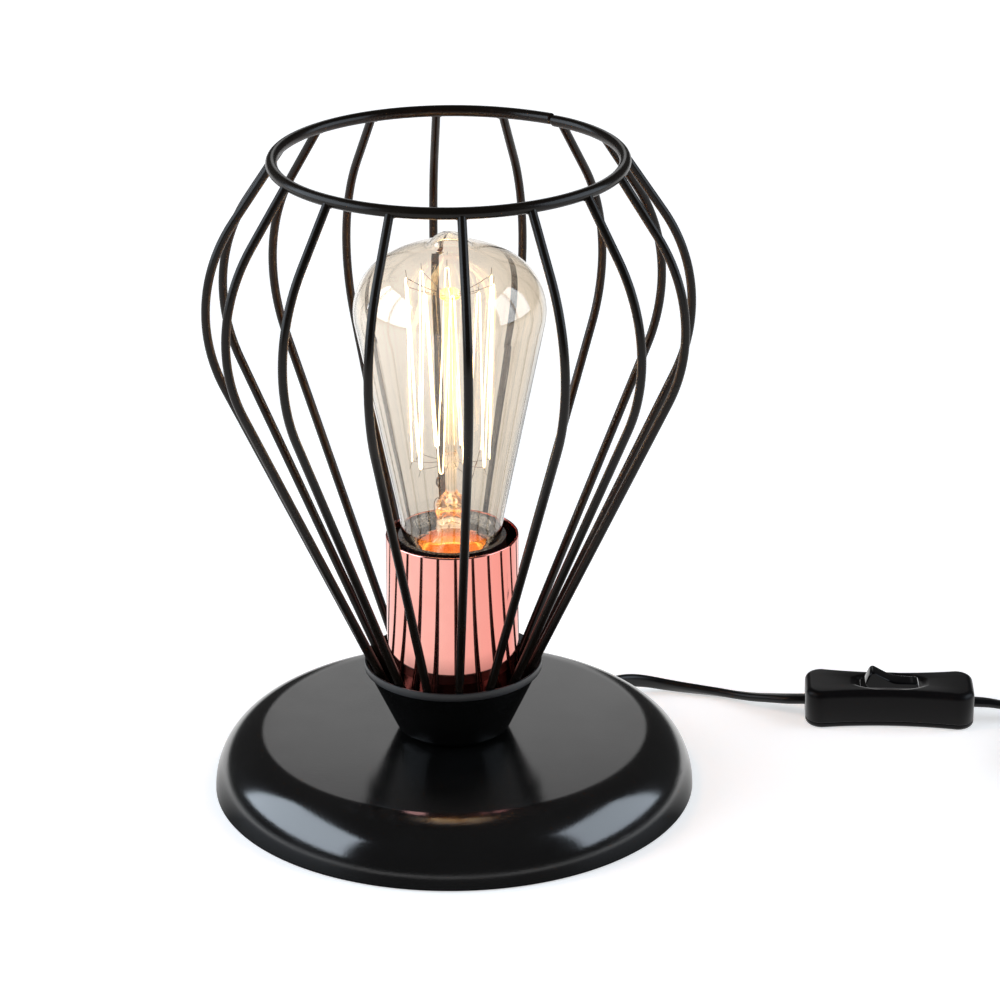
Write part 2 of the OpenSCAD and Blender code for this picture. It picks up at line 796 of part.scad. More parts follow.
module hooks(bead_r, bead_z, reach_r, reach_z, start, count) {
    step = 360 / (filament_pairs + 1);
    color(steel)
        translate([0, 0, button_z])
            for (i = [0 : count - 1])
                wire(ring_point(bead_r + seat, step * (i + start), bead_z),
                    ring_point(reach_r, step * (i + start), reach_z), hook_r);
}

module upper_hooks() {
    hooks(top_bead_r, top_bead_z, filament_top_d / 2 - filament_wire_d - hook_r, filament_top_z,
        1, filament_pairs);
}

module lower_hooks() {
    hooks(low_bead_r, low_bead_z, filament_low_d / 2 - filament_wire_d - hook_r, filament_low_z,
        1.5, filament_pairs - 1);
}

module lead_in_wires() {
    step = 360 / (filament_pairs + 1);
    reach_r = filament_low_d / 2 - filament_wire_d / 2;
    end_z = filament_low_z - filament_wire_d / 2 - lead_wire_r;
    color(steel)
        translate([0, 0, button_z])
            for (a = [step / 2, -step / 2])
                wire(ring_point(stem_r * 0.6, 90 * sign(a), stem_z + pinch_h + lead_wire_r),
                    ring_point(reach_r, a, end_z), lead_wire_r);
}

module bulb_cap() {
    cone_h = screw_h / 10;
    low_z = screw_h / 11;
    low_r = screw_r * 0.66;
    band_z = screw_h - 5 * glass_wall;
    outside = [[0, low_z], [low_r, low_z], [screw_r, low_z + cone_h], [screw_r, band_z],
        [screw_r + fit, band_z], [screw_r + fit, screw_h], [0, screw_h]];
    inside = [[0, low_z - over], [low_r - brass_t, low_z - over], [low_r - brass_t, low_z + brass_t],
        [screw_r - brass_t, low_z + cone_h + brass_t], [screw_r - brass_t, screw_h + over],
        [0, screw_h + over]];
    color(steel)
        translate([0, 0, button_z])
            rotate_extrude()
                difference() {
                    polygon(outside);
                    polygon(inside);
                }
}

module cap_insulator() {
    low_z = screw_h / 30;
    high_z = screw_h / 11 + brass_t;
    button_r = screw_r * 0.36;
    color(black)
        translate([0, 0, button_z])
            rotate_extrude()
                difference() {
                    polygon([[0, low_z], [button_r + brass_t, low_z],
                        [screw_r * 0.66 - brass_t - seat, screw_h / 11],
                        [screw_r * 0.66 - brass_t - seat, high_z], [0, high_z]]);
                    square([button_r + seat, screw_h / 20]);
                }
}

module cap_button() {
    color(steel)
        translate([0, 0, button_z])
            cylinder(r = screw_r * 0.36, h = screw_h / 20 - seat);
}

// INNER WIRING

module inner_cord() {
    p = [for (row = inner_rows) row[0] * exit_dir + [0, 0, row[1]]];
    color(black)
        skin(tube_rings(p, [for (row = inner_rows) exit_across],
            [for (row = inner_rows) cord_section(row[2], cord_sides)]));
}

module lead(side) {
    low = cord_w / 4;
    high_z = core_z - terminal_h / 2;
    rise = high_z - inner_top_z;
    rows = [[low, inner_top_z], [low, inner_top_z + rise * 0.15],
        [0.34 * terminal_x, inner_top_z + rise * 0.45],
        [0.55 * terminal_x, inner_top_z + rise * 0.78], [0.78 * terminal_x, inner_top_z + rise * 0.95],
        [0.9 * terminal_x, high_z], [terminal_x, high_z]];
    p = [for (row = rows) side * row[0] * exit_across + [0, 0, row[1]]];
    skin(tube_rings(p, [for (row = rows) exit_dir], [for (row = rows) round_section(lead_r, 8)]));
}

module live_lead() {
    color(black)
        lead(1);
}

module neutral_lead() {
    color(steel)
        lead(-1);
}

// SWITCH

// The outline from above: round corners and sides that draw in at the waist
function switch_outline(inset) =
    let (l = switch_l / 2 - switch_corner_r, w = switch_w / 2 - switch_corner_r, r = switch_corner_r - inset,
        hollow_r = (l * l + switch_waist * switch_waist) / (2 * switch_waist),
        swing = asin(l / hollow_r))
    concat(
        arc_points([l, w], r, 0, 90, outline_steps),
        arc_points([0, switch_w / 2 - switch_waist + hollow_r], hollow_r + inset, 270 + swing, 270 - swing,
            outline_steps + 2),
        arc_points([-l, w], r, 90, 180, outline_steps),
        arc_points([-l, -w], r, 180, 270, outline_steps),
        arc_points([0, -switch_w / 2 + switch_waist - hollow_r], hollow_r + inset, 90 + swing, 90 - swing,
            outline_steps + 2),
        arc_points([l, -w], r, 270, 360, outline_steps));

// An outline set at a height, clockwise from above as skin() wants it
function raise(outline, z) = [for (i = [len(outline) - 1 : -1 : 0]) [outline[i][0], outline[i][1], z]];

// The oval recess from above, with a point for each point of the switch's outline
function recess_outline() =
    [for (q = switch_outline(0)) let (a = atan2(q[1] / recess_w, q[0] / recess_l))
        [recess_l / 2 * cos(a), recess_w / 2 * sin(a)]];

// The rounded upper edge: how far in and how high it is at a turn of its section
function edge_inset(turn) = switch_edge_r * (1 - cos(turn));
function edge_height(turn) = switch_h - switch_edge_r * (1 - sin(turn));

module in_switch_place() {
    translate(switch_pos)
        rotate([0, 0, switch_yaw])
            children();
}

module cord_entries() {
    for (side = [-1, 1])
        translate([side * switch_l / 2 - (side > 0 ? entry_depth : over), 0, switch_mid_z])
            rotate([90, 0, 90])
                linear_extrude(entry_depth + over)
                    scale([(cord_w + 2 * seat) / cord_w, (cord_t + 2 * seat) / cord_t])
                        polygon(cord_section(0, cord_sides));
}

module switch_top() {
    color(black)
        in_switch_place()
            difference() {
                skin(concat([raise(switch_outline(0), switch_seam_z)],
                    [for (a = [0 : edge_turn : 90])
                        raise(switch_outline(edge_inset(a)), edge_height(a))],
                    [for (z = [switch_h, switch_h - recess_depth])
                        raise(recess_outline(), z)]));
                translate([-window_l / 2, -window_w / 2, switch_seam_z - over])
                    cube([window_l, window_w, switch_h]);
                on_pin_axis(pin_d + seat, pin_l + seat);
                cord_entries();
                screw_holes(small_screw_r + seat, switch_h - recess_depth - over);
            }
}

module screw_holes(r, top) {
    for (side = [-1, 1])
        translate([side * switch_l / 3, 0, -over])
            cylinder(r = r, h = top + over, $fn = 24);
}

module switch_bottom() {
    low_edge = switch_edge_r / 2;
    color(black)
        in_switch_place()
            difference() {
                skin(concat([for (i = [0 : 3]) let (a = 30 * i)
                        raise(switch_outline(low_edge * (1 - sin(a))), low_edge * (1 - cos(a)))],
                    [raise(switch_outline(0), switch_seam_z)]));
                screw_holes(small_screw_r + seat, switch_h);
                screw_holes(small_head_r + seat, small_head_h + switch_edge_r / 4);
            }
}

module switch_screws() {
    head_z = switch_edge_r / 4;
    color(steel)
        in_switch_place()
            for (side = [-1, 1])
                translate([side * switch_l / 3, 0, head_z]) {
                    cylinder(r = small_head_r, h = small_head_h, $fn = 24);
                    cylinder(r = small_screw_r, h = switch_h - recess_depth - over - head_z - seat, $fn = 24);
                }
}

module rocker_pin() {
    color(steel)
        in_switch_place()
            on_pin_axis(pin_d, pin_l);
}

// A round bar along the rocker's pin
module on_pin_axis(d, l) {
    translate([0, l / 2, rocker_pin_z])
        rotate([90, 0, 0])
            cylinder(d = d, h = l, $fn = 32);
}

// The rocker's side view: shares of half its length and of its ridges' height
rocker_profile_shares =
    [[1, 0.33], [1, 0.45], [0.83, 0.96], [0.77, 1], [0.68, 0.97], [0.38, 0.78], [0, 0.72]];

module switch_rocker() {
    half = [for (s = rocker_profile_shares) [s[0] * rocker_l / 2, s[1] * rocker_rise]];
    profile = concat([for (i = [0 : len(half) - 1]) [half[i][0], half[i][1]]],
        [for (i = [len(half) - 2 : -1 : 0]) [-half[i][0], half[i][1]]],
        [[-rocker_l / 4, -pin_d * 1.2], [rocker_l / 4, -pin_d * 1.2]]);
    color(black)
        in_switch_place()
            translate([0, 0, rocker_pin_z])
                rotate([0, rocker_tilt, 0])
                    difference() {
                        translate([0, rocker_w / 2, 0])
                            rotate([90, 0, 0])
                                linear_extrude(rocker_w)
                                    polygon(profile);
                        translate([0, 0, -rocker_pin_z])
                            on_pin_axis(pin_d + 2 * run_gap, pin_l);
                    }
}

// CORD AND PLUG

// Each row of a route is x, y, z and the turn of the flat section: 90 stands it on edge
function switch_end(side) =
    let (x = side * (switch_l / 2 - entry_depth))
    [switch_pos[0] + x * cos(switch_yaw), switch_pos[1] + x * sin(switch_yaw), switch_mid_z, 0];

function switch_face(side) =
    let (x = side * switch_l / 2)
    [switch_pos[0] + x * cos(switch_yaw), switch_pos[1] + x * sin(switch_yaw), switch_mid_z, 0];

switch_route = [[60, 66.2, 6.5, 85], [64.4, 68.8, 5.6, 78], [70, 70.4, 4.3, 70], [75.8, 70.4, 3.2, 62],
    [82, 69.3, 2.6, 52], [89, 67.6, 2.3, 42], [95.5, 65.6, 2.2, 32], [102, 62.2, 2.6, 22],
    [108, 58.3, 3.6, 14], [114, 54.5, 5, 6], [119.5, 51.5, 6.1, 0]];
coil_route = [[191, 47, 6.2, 8], [197, 46.7, 5.3, 20], [204, 46.4, 4.4, 38], [211, 46.2, 3.7, 56],
    [218, 46, 3.3, 72], [225, 46, 3.2, 84]];
tail_route = [[274.8, -2, 8.5, 80], [274.8, -8, 7.8, 60], [274.8, -14, 7.2, 30], [274.8, -20, 6.9, 8]];

module cord_to_switch() {
    color(black)
        flat_cord(concat([concat(cord_exit, [90]), concat(cord_exit + cord_t / 2 * exit_dir, [90])],
            switch_route, [switch_face(-1), switch_end(-1)]), cord_sides);
}

module cord_to_coil() {
    color(black)
        flat_cord(concat([switch_end(1), switch_face(1)], coil_route,
            [coil_start() - [cord_t / 2, 0, 0, 0], coil_start()]), cord_sides);
}

// The coil winds in over its lower layer, swings inside both layers while it climbs in half a
// turn, and winds out over the upper layer. The climb itself takes the middle of that half turn.
function climb_at(part) = min(max((part - 0.2) / 0.6, 0), 1);

function coil_point(turns) =
    let (wind = min(turns, coil_layer_turns), unwind = max(turns - coil_layer_turns - 0.5, 0),
        part = min(max((turns - coil_layer_turns) / 0.5, 0), 1),
        r = coil_out_r - coil_pitch * (wind - unwind) - coil_dip * pow(sin(180 * part), 2),
        a = 90 - 360 * turns)
    [coil_pos[0] + r * cos(a), coil_pos[1] + r * sin(a),
        coil_z + coil_rise * (1 - cos(180 * climb_at(part))) / 2];

coil_points = [for (i = [0 : coil_turns * coil_rings]) coil_point(i / coil_rings)];

function coil_start() = [coil_points[0][0] - cord_w, coil_points[0][1], coil_z, 90];

function coil_end() =
    let (last = coil_points[len(coil_points) - 1])
    [last[0], last[1] - cord_w, last[2], 90];

module cord_coil() {
    start = coil_start();
    end = coil_end();
    p = concat([[start[0], start[1], start[2]]], coil_points, [[end[0], end[1], end[2]]]);
    color(black)
        skin(tube_rings(p, level_across(p), [for (q = p) cord_section(90, 6)]));
}

// The least gap of the coil to itself, measured between rings at least half a turn apart
coil_least_gap = min([for (i = [0 : len(coil_points) - 1])
    for (j = [i + coil_rings / 2 : 1 : len(coil_points) - 1])
    let (d = coil_points[j] - coil_points[i], flat = norm([d[0], d[1]]))
    max(flat - cord_t, abs(d[2]) - cord_w)]);
coil_length = sum_of([for (i = [1 : len(coil_points) - 1]) norm(coil_points[i] - coil_points[i - 1])]);
echo(coil_least_gap = coil_least_gap, coil_length = coil_length);

// A band round all the turns, opposite the climb. It passes under the coil, which lies on it.
module coil_tie() {
    in_r = coil_in_r + coil_pitch / 4 - cord_t / 2 - free;
    out_r = coil_out_r - coil_pitch / 8 + cord_t / 2 + free;
    inner_h = coil_rise + cord_w + 2 * seat;
    color(black)
        translate([coil_pos[0], coil_pos[1], 0])
            rotate([0, 0, 45])
                difference() {
                    translate([in_r - tie_t, -tie_w / 2, 0])
                        cube([out_r - in_r + 2 * tie_t, tie_w, inner_h + 2 * tie_t]);
                    translate([in_r, -tie_w / 2 - over, tie_t])
                        cube([out_r - in_r, tie_w + 2 * over, inner_h]);
                }
}

module cord_tail() {
    color(black)
        flat_cord(concat([coil_end(), coil_end() - [0, cord_t / 2, 0, 0]], tail_route,
            [concat(plug_pos + [0, cord_t / 2, 0], [0]), concat(plug_pos, [0])]), cord_sides);
}

// The plug's own frame has its pins along +X
module in_plug_place() {
    translate(plug_pos)
        rotate([0, 0, -90])
            children();
}

module plug_body() {
    edge_t = plug_t * plug_edge_share;
    outline = [[plug_w / 2, edge_t / 2], [plug_flat_w / 2, plug_t / 2], [-plug_flat_w / 2, plug_t / 2],
        [-plug_w / 2, edge_t / 2], [-plug_w / 2, -edge_t / 2], [-plug_flat_w / 2, -plug_t / 2],
        [plug_flat_w / 2, -plug_t / 2], [plug_w / 2, -edge_t / 2]];
    color(black)
        in_plug_place() {
            rotate([0, 90, 0])
                cylinder(r1 = cord_w * 0.6, r2 = plug_tail_r, h = plug_tail_l, $fn = 24);
            hull() {
                translate([plug_tail_l, 0, 0])
                    rotate([0, 90, 0])
                        cylinder(r = plug_tail_r, h = over, $fn = 24);
                translate([plug_tail_l + plug_taper, 0, 0])
                    rotate([90, 0, 90])
                        linear_extrude(over)
                            polygon(outline);
            }
            translate([plug_tail_l + plug_taper, 0, 0])
                rotate([90, 0, 90])
                    linear_extrude(plug_l)
                        polygon(outline);
        }
}

module plug_pin(side) {
    color(brass)
        in_plug_place()
            translate([plug_tail_l + plug_taper + plug_l, side * plug_pin_gap / 2, 0])
                rotate([0, 90, 0]) {
                    cylinder(d = plug_pin_d, h = plug_pin_l - plug_pin_d / 4, $fn = 24);
                    translate([0, 0, plug_pin_l - plug_pin_d / 4])
                        cylinder(d1 = plug_pin_d, d2 = plug_pin_d / 2, h = plug_pin_d / 4, $fn = 24);
                }
}

base_shell();
base_pad();
base_weight();
base_washer();
base_nut();
threaded_tube();
cord_grommet();
cup();
neck_tube();
holder_cap();
holder_shell();
holder_core();
screw_shell();
centre_contact();
live_terminal();
neutral_terminal();
terminal_screws();
holder_sleeve();
top_ring();
cage_rod(1);  // cage_rod_01
cage_rod(2);  // cage_rod_02
cage_rod(3);  // cage_rod_03
cage_rod(4);  // cage_rod_04
cage_rod(5);  // cage_rod_05
cage_rod(6);  // cage_rod_06
cage_rod(7);  // cage_rod_07
cage_rod(8);  // cage_rod_08
cage_rod(9);  // cage_rod_09
cage_rod(10);  // cage_rod_10
cage_rod(11);  // cage_rod_11
cage_rod(12);  // cage_rod_12
cage_rod(13);  // cage_rod_13
cage_rod(14);  // cage_rod_14
cage_rod(15);  // cage_rod_15
cage_rod(16);  // cage_rod_16
bulb_glass();
bulb_stem();
bulb_filament();
upper_hooks();
lower_hooks();
lead_in_wires();
bulb_cap();
cap_insulator();
cap_button();
inner_cord();
live_lead();
neutral_lead();
switch_top();
switch_bottom();
switch_rocker();
rocker_pin();
switch_screws();
cord_to_switch();
cord_to_coil();
cord_coil();
coil_tie();
cord_tail();
plug_body();
plug_pin(-1);  // plug_pin_left
plug_pin(1);  // plug_pin_right
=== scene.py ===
# %% [markdown]
# # A desk lamp with a wire cage
#
# This lesson dresses a lamp that already exists as a fixed frame of solids. Everything here is
# in metres and in the frame's own place, so each piece is drawn where its solid is. The sizes
# below are in millimetres, as in a workshop drawing, and are turned into metres when a mesh
# is made.

import math

import bpy
from mathutils import Matrix, Vector, noise
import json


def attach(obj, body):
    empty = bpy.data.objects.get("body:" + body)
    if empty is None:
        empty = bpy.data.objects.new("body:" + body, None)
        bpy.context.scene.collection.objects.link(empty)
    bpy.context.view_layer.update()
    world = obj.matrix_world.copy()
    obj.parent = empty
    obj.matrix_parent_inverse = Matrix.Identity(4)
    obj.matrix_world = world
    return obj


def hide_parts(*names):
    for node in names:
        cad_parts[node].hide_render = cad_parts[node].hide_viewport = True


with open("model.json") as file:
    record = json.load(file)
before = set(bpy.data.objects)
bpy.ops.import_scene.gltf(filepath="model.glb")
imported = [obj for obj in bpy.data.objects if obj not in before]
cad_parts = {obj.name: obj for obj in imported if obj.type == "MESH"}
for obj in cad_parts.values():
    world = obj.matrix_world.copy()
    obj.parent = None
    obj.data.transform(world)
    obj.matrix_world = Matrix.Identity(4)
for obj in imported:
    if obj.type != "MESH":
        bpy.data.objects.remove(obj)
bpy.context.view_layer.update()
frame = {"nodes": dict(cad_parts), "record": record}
MM = 0.001

# %% [markdown]
# ## The camera
#
# The camera comes first, because the cords are tested against what it sees. It stands about
# 1.3 m from the lamp, a little above it, and looks down at it. Its place was found by matching
# the lamp's own ellipses and corners, and its three turns are applied one after the other.

# %% Camera
SENSOR_W, LENS_PER_SENSOR = 36, 3.66443756
eye = Vector((15.3988, -1142.2989, 568.2510)) * MM
yaw, pitch, roll = 7.32385e-4, 0.385587926, -4.3516e-3
ahead = Vector((math.sin(yaw) * math.cos(pitch), math.cos(yaw) * math.cos(pitch), -math.sin(pitch)))
level_right = Vector((math.cos(yaw), -math.sin(yaw), 0))
level_up = level_right.cross(ahead)
right = level_right * math.cos(roll) + level_up * math.sin(roll)
up = level_up * math.cos(roll) - level_right * math.sin(roll)
camera_data = bpy.data.cameras.new("camera")
camera_data.sensor_width = SENSOR_W
camera_data.lens = SENSOR_W * LENS_PER_SENSOR
camera = bpy.data.objects.new("camera", camera_data)
camera.matrix_world = Matrix.Translation(eye) @ Matrix((right, up, -ahead)).transposed().to_4x4()
bpy.context.scene.collection.objects.link(camera)
bpy.context.scene.camera = camera
bpy.context.scene.view_settings.view_transform = "Standard"
print("lens", round(camera_data.lens, 1), "mm, eye", tuple(round(v, 3) for v in eye))

# %% [markdown]
# ## Three ways to make a mesh
#
# Nearly every piece of a lamp is turned on a lathe, drawn as a wire, or moulded. A turned piece
# is an outline spun round an axis. A wire is a section carried along a route. A moulded piece
# is a skin over rings. All three are rings of points, so one small class gathers the rings,
# joins them with faces and makes the piece at the end. The piece is shaded smooth, except where
# two faces meet at more than its crease angle, in degrees. Unless it is given a finish, it takes
# the one with the name of its slot, once that is made.

# %% Shape: rings that become a piece
finishes = {}


class Shape:
    """The points and faces of one piece, in millimetres, before it becomes a mesh."""

    def __init__(self):
        self.points, self.faces = [], []

    def ring(self, points):
        """Add one ring of points, and give back their numbers."""
        start = len(self.points)
        self.points += [tuple(p) for p in points]
        return list(range(start, len(self.points)))

    def between(self, low, high):
        """Join two rings with faces. A ring of one point is a tip."""
        if len(low) == 1 and len(high) == 1:
            return
        count = max(len(low), len(high))
        for i in range(count):
            j = (i + 1) % count
            corners = [low[i % len(low)], low[j % len(low)], high[j % len(high)], high[i % len(high)]]
            self.faces.append(list(dict.fromkeys(corners)))

    def skin(self, rings, closed=True, round_trip=False):
        """A skin over rings: with end caps, or with its last ring joined to its first."""
        rows = [self.ring(points) for points in rings]
        for low, high in zip(rows, rows[1:]):
            self.between(low, high)
        if round_trip:
            self.between(rows[-1], rows[0])
        elif closed:
            if len(rows[0]) > 2:
                self.faces.append(rows[0][::-1])
            if len(rows[-1]) > 2:
                self.faces.append(rows[-1])
        return self

    def turned(self, outline, steps=128, closed=False, round_trip=False):
        """An outline of radius and height, spun round the lamp's axis."""
        turns = [math.tau * i / steps for i in range(steps)]
        rings = []
        for r, z in outline:
            on_axis = r < 1e-6
            rings.append([(0, 0, z)] if on_axis else [(r * math.cos(a), r * math.sin(a), z) for a in turns])
        return self.skin(rings, closed, round_trip)

    def piece(self, name, body, slot, stands_for, finish=None, crease=40):
        """Make the mesh with its finish, and put it on its body in place of its solids."""
        mesh = bpy.data.meshes.new(name)
        mesh.from_pydata([tuple(v * MM for v in p) for p in self.points], [], self.faces)
        mesh.update()
        mesh.shade_smooth()
        mesh.set_sharp_from_angle(angle=math.radians(crease))
        made = bpy.data.objects.new(name, mesh)
        bpy.context.scene.collection.objects.link(made)
        finish = finish or finishes.get(slot)
        if finish is not None:
            mesh.materials.append(finish.material)
        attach(made, body)
        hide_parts(*stands_for)
        return made


def show_size(made):
    print(made.name, [round(v / MM, 1) for v in made.dimensions], "mm")


# %% [markdown]
# ## Routes and tubes
#
# A cord, a bent rod and a thin wire each follow a route. A route is a few given points and
# a smooth line through them, so that no bend has a corner. A tube is a section set square to the
# route at each of its points. Blender's own curves could do this too, but with rings the flat
# cord can twist where the real one does, and the number of faces stays known.

# %% Routes: smooth lines through given points
def smooth_rows(rows, steps):
    """Rows of numbers on a smooth line through the given rows, with steps between each two."""
    rows = [Vector(row) for row in rows]
    found = []
    for i in range(len(rows) - 1):
        a, b = rows[max(i - 1, 0)], rows[i]
        c, d = rows[i + 1], rows[min(i + 2, len(rows) - 1)]
        for k in range(steps):
            t = k / steps
            found.append(0.5 * (2 * b + (c - a) * t + (2 * a - 5 * b + 4 * c - d) * t ** 2
                                + (3 * b - 3 * c + d - a) * t ** 3))
    return found + [rows[-1]]


def run_length(points):
    """How long a route is, in millimetres."""
    return sum((b - a).length for a, b in zip(points, points[1:]))


def tube_rings(route, across, section):
    """The rings of a tube: across(i) is the section's first direction, section(i) its points."""
    rings = []
    for i, p in enumerate(route):
        run = (route[min(i + 1, len(route) - 1)] - route[max(i - 1, 0)]).normalized()
        side = across(i) - across(i).dot(run) * run
        side.normalize()
        other = run.cross(side)
        rings.append([p + side * x + other * y for x, y in section(i)])
    return rings


def circle_section(r, sides):
    turns = [math.tau * i / sides for i in range(sides)]
    return [(r * math.cos(a), r * math.sin(a)) for a in turns]


# %% [markdown]
# ## The cord, before anything else
#
# The real cord is a flat two-core cord, 5 mm wide and 3 mm thick. It leaves the back of the
# base, twists from standing on edge to lying flat, and passes through the in-line switch. The
# photograph loses it at the right edge. The rest of about 1.8 m is put away as for storage: a
# coil of two layers, wound in and out again, so that both ends come from outside. The route's
# points are those of the solids, so the cord lies where they lie.

# %% The cord's section
CORD_W, CORD_T = 5.0, 3.0


def flat_section(turn, half_steps=7):
    """A flat cord's section: two half circles with straights between them, turned in degrees."""
    r, straight = CORD_T / 2, (CORD_W - CORD_T) / 2
    points = []
    for side in (1, -1):
        for i in range(half_steps):
            a = -math.pi / 2 + math.pi * i / (half_steps - 1)
            points.append((side * (straight + r * math.cos(a)), side * r * math.sin(a)))
    c, s = math.cos(math.radians(turn)), math.sin(math.radians(turn))
    return [(-(x * c - y * s), x * s + y * c) for x, y in points]


# %% The route to the switch: places, and the cord's turn in degrees
EXIT_TURN, EXIT_R, EXIT_Z = math.radians(48), 84, 7
SWITCH_X, SWITCH_Y, SWITCH_TURN = 155.5, 48.9, math.radians(-3)
CORD_IN_SWITCH_Z = 6.5
exit_dir = Vector((math.cos(EXIT_TURN), math.sin(EXIT_TURN), 0))
cord_exit = exit_dir * EXIT_R + Vector((0, 0, EXIT_Z))


def switch_point(x):
    """A point on the switch's own axis, where the cord goes in and comes out."""
    return (SWITCH_X + x * math.cos(SWITCH_TURN), SWITCH_Y + x * math.sin(SWITCH_TURN), CORD_IN_SWITCH_Z, 0)


to_switch = [
    (*cord_exit, 90), (*(cord_exit + 1.5 * exit_dir), 90),
    (60, 66.2, 6.5, 85), (64.4, 68.8, 5.6, 78), (70, 70.4, 4.3, 70), (75.8, 70.4, 3.2, 62),
    (82, 69.3, 2.6, 52), (89, 67.6, 2.3, 42), (95.5, 65.6, 2.2, 32), (102, 62.2, 2.6, 22),
    (108, 58.3, 3.6, 14), (114, 54.5, 5, 6), (119.5, 51.5, 6.1, 0), switch_point(-30), switch_point(-25),
]
first_rows = smooth_rows(to_switch, 4)
print("points to the switch", len(first_rows))

# %% The route from the switch, round the coil and to the plug
COIL_X, COIL_Y, COIL_R, COIL_LOW = 238, 9.2, 36.8, 3.15
TURN_STEP, LAYER_STEP, TUCK = 3.7, 5.6, 2.4
TURNS_IN, TURNS_UP, TURNS_ALL, STEPS_A_TURN = 4.375, 0.5, 9.25, 48
PLUG_X, PLUG_Y, PLUG_Z = 274.8, -26, 6.85


def coil_row(turns):
    """The coil winds in, climbs inside both layers in half a turn, and winds out again."""
    wind, unwind = min(turns, TURNS_IN), max(turns - TURNS_IN - TURNS_UP, 0)
    part = min(max((turns - TURNS_IN) / TURNS_UP, 0), 1)
    r = COIL_R - TURN_STEP * (wind - unwind) - TUCK * math.sin(math.pi * part) ** 2
    climb = min(max((part - 0.2) / 0.6, 0), 1)
    a = math.radians(90 - 360 * turns)
    z = COIL_LOW + LAYER_STEP * (1 - math.cos(math.pi * climb)) / 2
    return (COIL_X + r * math.cos(a), COIL_Y + r * math.sin(a), z, 90)


coil = [coil_row(i / STEPS_A_TURN) for i in range(int(TURNS_ALL * STEPS_A_TURN) + 1)]
into_coil = [
    switch_point(25), switch_point(30), (191, 47, 6.2, 8), (197, 46.7, 5.3, 20), (204, 46.4, 4.4, 38),
    (211, 46.2, 3.7, 56), (218, 46, 3.3, 72), (225, 46, 3.2, 84), (231.5, 46, 3.15, 90), (233, 46, 3.15, 90),
]
to_plug = [(PLUG_X, y, z, turn) for y, z, turn in [
    (4.2, 8.75, 90), (2.7, 8.75, 90), (-2, 8.5, 80), (-8, 7.8, 60),
    (-14, 7.2, 30), (-20, 6.9, 8), (-24.5, PLUG_Z, 0), (PLUG_Y, PLUG_Z, 0)]]
second_rows = smooth_rows(into_coil, 4) + [Vector(row) for row in coil] + smooth_rows(to_plug, 4)
print("points in the coil", len(coil))

# %% [markdown]
# ## The two runs of cord
#
# The switch cuts the cord in two. Each run is one tube of the flat section, and the section's
# turn is one of the numbers of the route, so it changes as smoothly as the place does. The runs
# get their finish further down, once it is made.

# %% Make the two runs of cord
def flat_cord(name, rows, stands_for):
    route = [Vector(row[:3]) for row in rows]
    up_z = Vector((0, 0, 1))

    def across(i):
        run = (route[min(i + 1, len(route) - 1)] - route[max(i - 1, 0)]).normalized()
        return up_z.cross(run)

    rings = tube_rings(route, across, lambda i: flat_section(rows[i][3]))
    made = Shape().skin(rings).piece(name, "lamp", "cord_sheath", stands_for, crease=60)
    return made, route


cord_to_switch, first_route = flat_cord("cord_from_base", first_rows, ["cord_to_switch"])
cord_to_plug, second_route = flat_cord(
    "cord_from_switch", second_rows, ["cord_to_coil", "cord_coil", "cord_tail"])
print("cord runs", round(run_length(first_route)), "mm and", round(run_length(second_route)), "mm")

# %% [markdown]
# ## Shader maths
#
# A finish is a Principled shader with a few values that change over the surface. Those values
# are easiest to read as sums, so a small class wraps a socket and turns + - and * into Math
# nodes. Any other node comes from one method: its type, then its settings, then what goes into
# its sockets. What is the same all over a surface is set on the shader's own socket. A finish
# enters itself under its name in one list, where the pieces find it.

# %% Link: the value of a socket
class Link:
    """The value of a socket in a finish. Arithmetic on it adds the Math nodes."""

    def __init__(self, finish, socket):
        self.finish, self.socket = finish, socket

    def maths(self, operation, *values):
        return self.finish.node("Math", {"operation": operation}, dict(enumerate(values)))

    def __add__(self, other):
        return self.maths("ADD", self, other)

    def __sub__(self, other):
        return self.maths("SUBTRACT", self, other)

    def __rsub__(self, other):
        return self.maths("SUBTRACT", other, self)

    def __mul__(self, other):
        return self.maths("MULTIPLY", self, other)

    __radd__, __rmul__ = __add__, __mul__


# %% Nodes: what any node tree can add
class Nodes:
    """A node tree, with one method that adds any node."""

    def __init__(self, tree):
        self.tree = tree

    def plug_in(self, node, values):
        """Set each named input of a node, or link it where the value is a Link."""
        for key, value in values.items():
            socket = node.inputs[key]
            if isinstance(value, Link):
                self.tree.links.new(value.socket, socket)
            else:
                socket.default_value = value

    def node(self, kind, settings=None, values=None, output=0):
        """Add a node of a kind, with its settings and inputs, and give back one output."""
        made = self.tree.nodes.new("ShaderNode" + kind)
        for key, setting in (settings or {}).items():
            if key == "stops":
                stops = made.color_ramp.elements
                while len(stops) < len(setting):
                    stops.new(1)
                for stop, (place, colour) in zip(stops, setting):
                    stop.position, stop.color = place, colour
            else:
                setattr(made, key, setting)
        self.plug_in(made, values or {})
        return Link(self, made.outputs[output])

    def between(self, value, low, high, to_low=0.0, to_high=1.0):
        """The value's range from low to high, spread over another range and held inside it."""
        values = {0: value, 1: low, 2: high, 3: to_low, 4: to_high}
        return self.node("MapRange", {"clamp": True}, values)

    def mixed(self, share, colour, other):
        """One colour where the share is 0, the other where it is 1."""
        return self.node("Mix", {"data_type": "RGBA"}, {0: share, 6: colour, 7: other}, output=2)

    def ray_kinds(self):
        """Three values, each 1 for one kind of ray: from the camera, from a mirror, through glass."""
        seen, shiny, through = [self.node("LightPath", output=name) for name in
                                ("Is Camera Ray", "Is Glossy Ray", "Is Transmission Ray")]
        return seen, shiny * (1 - through), through


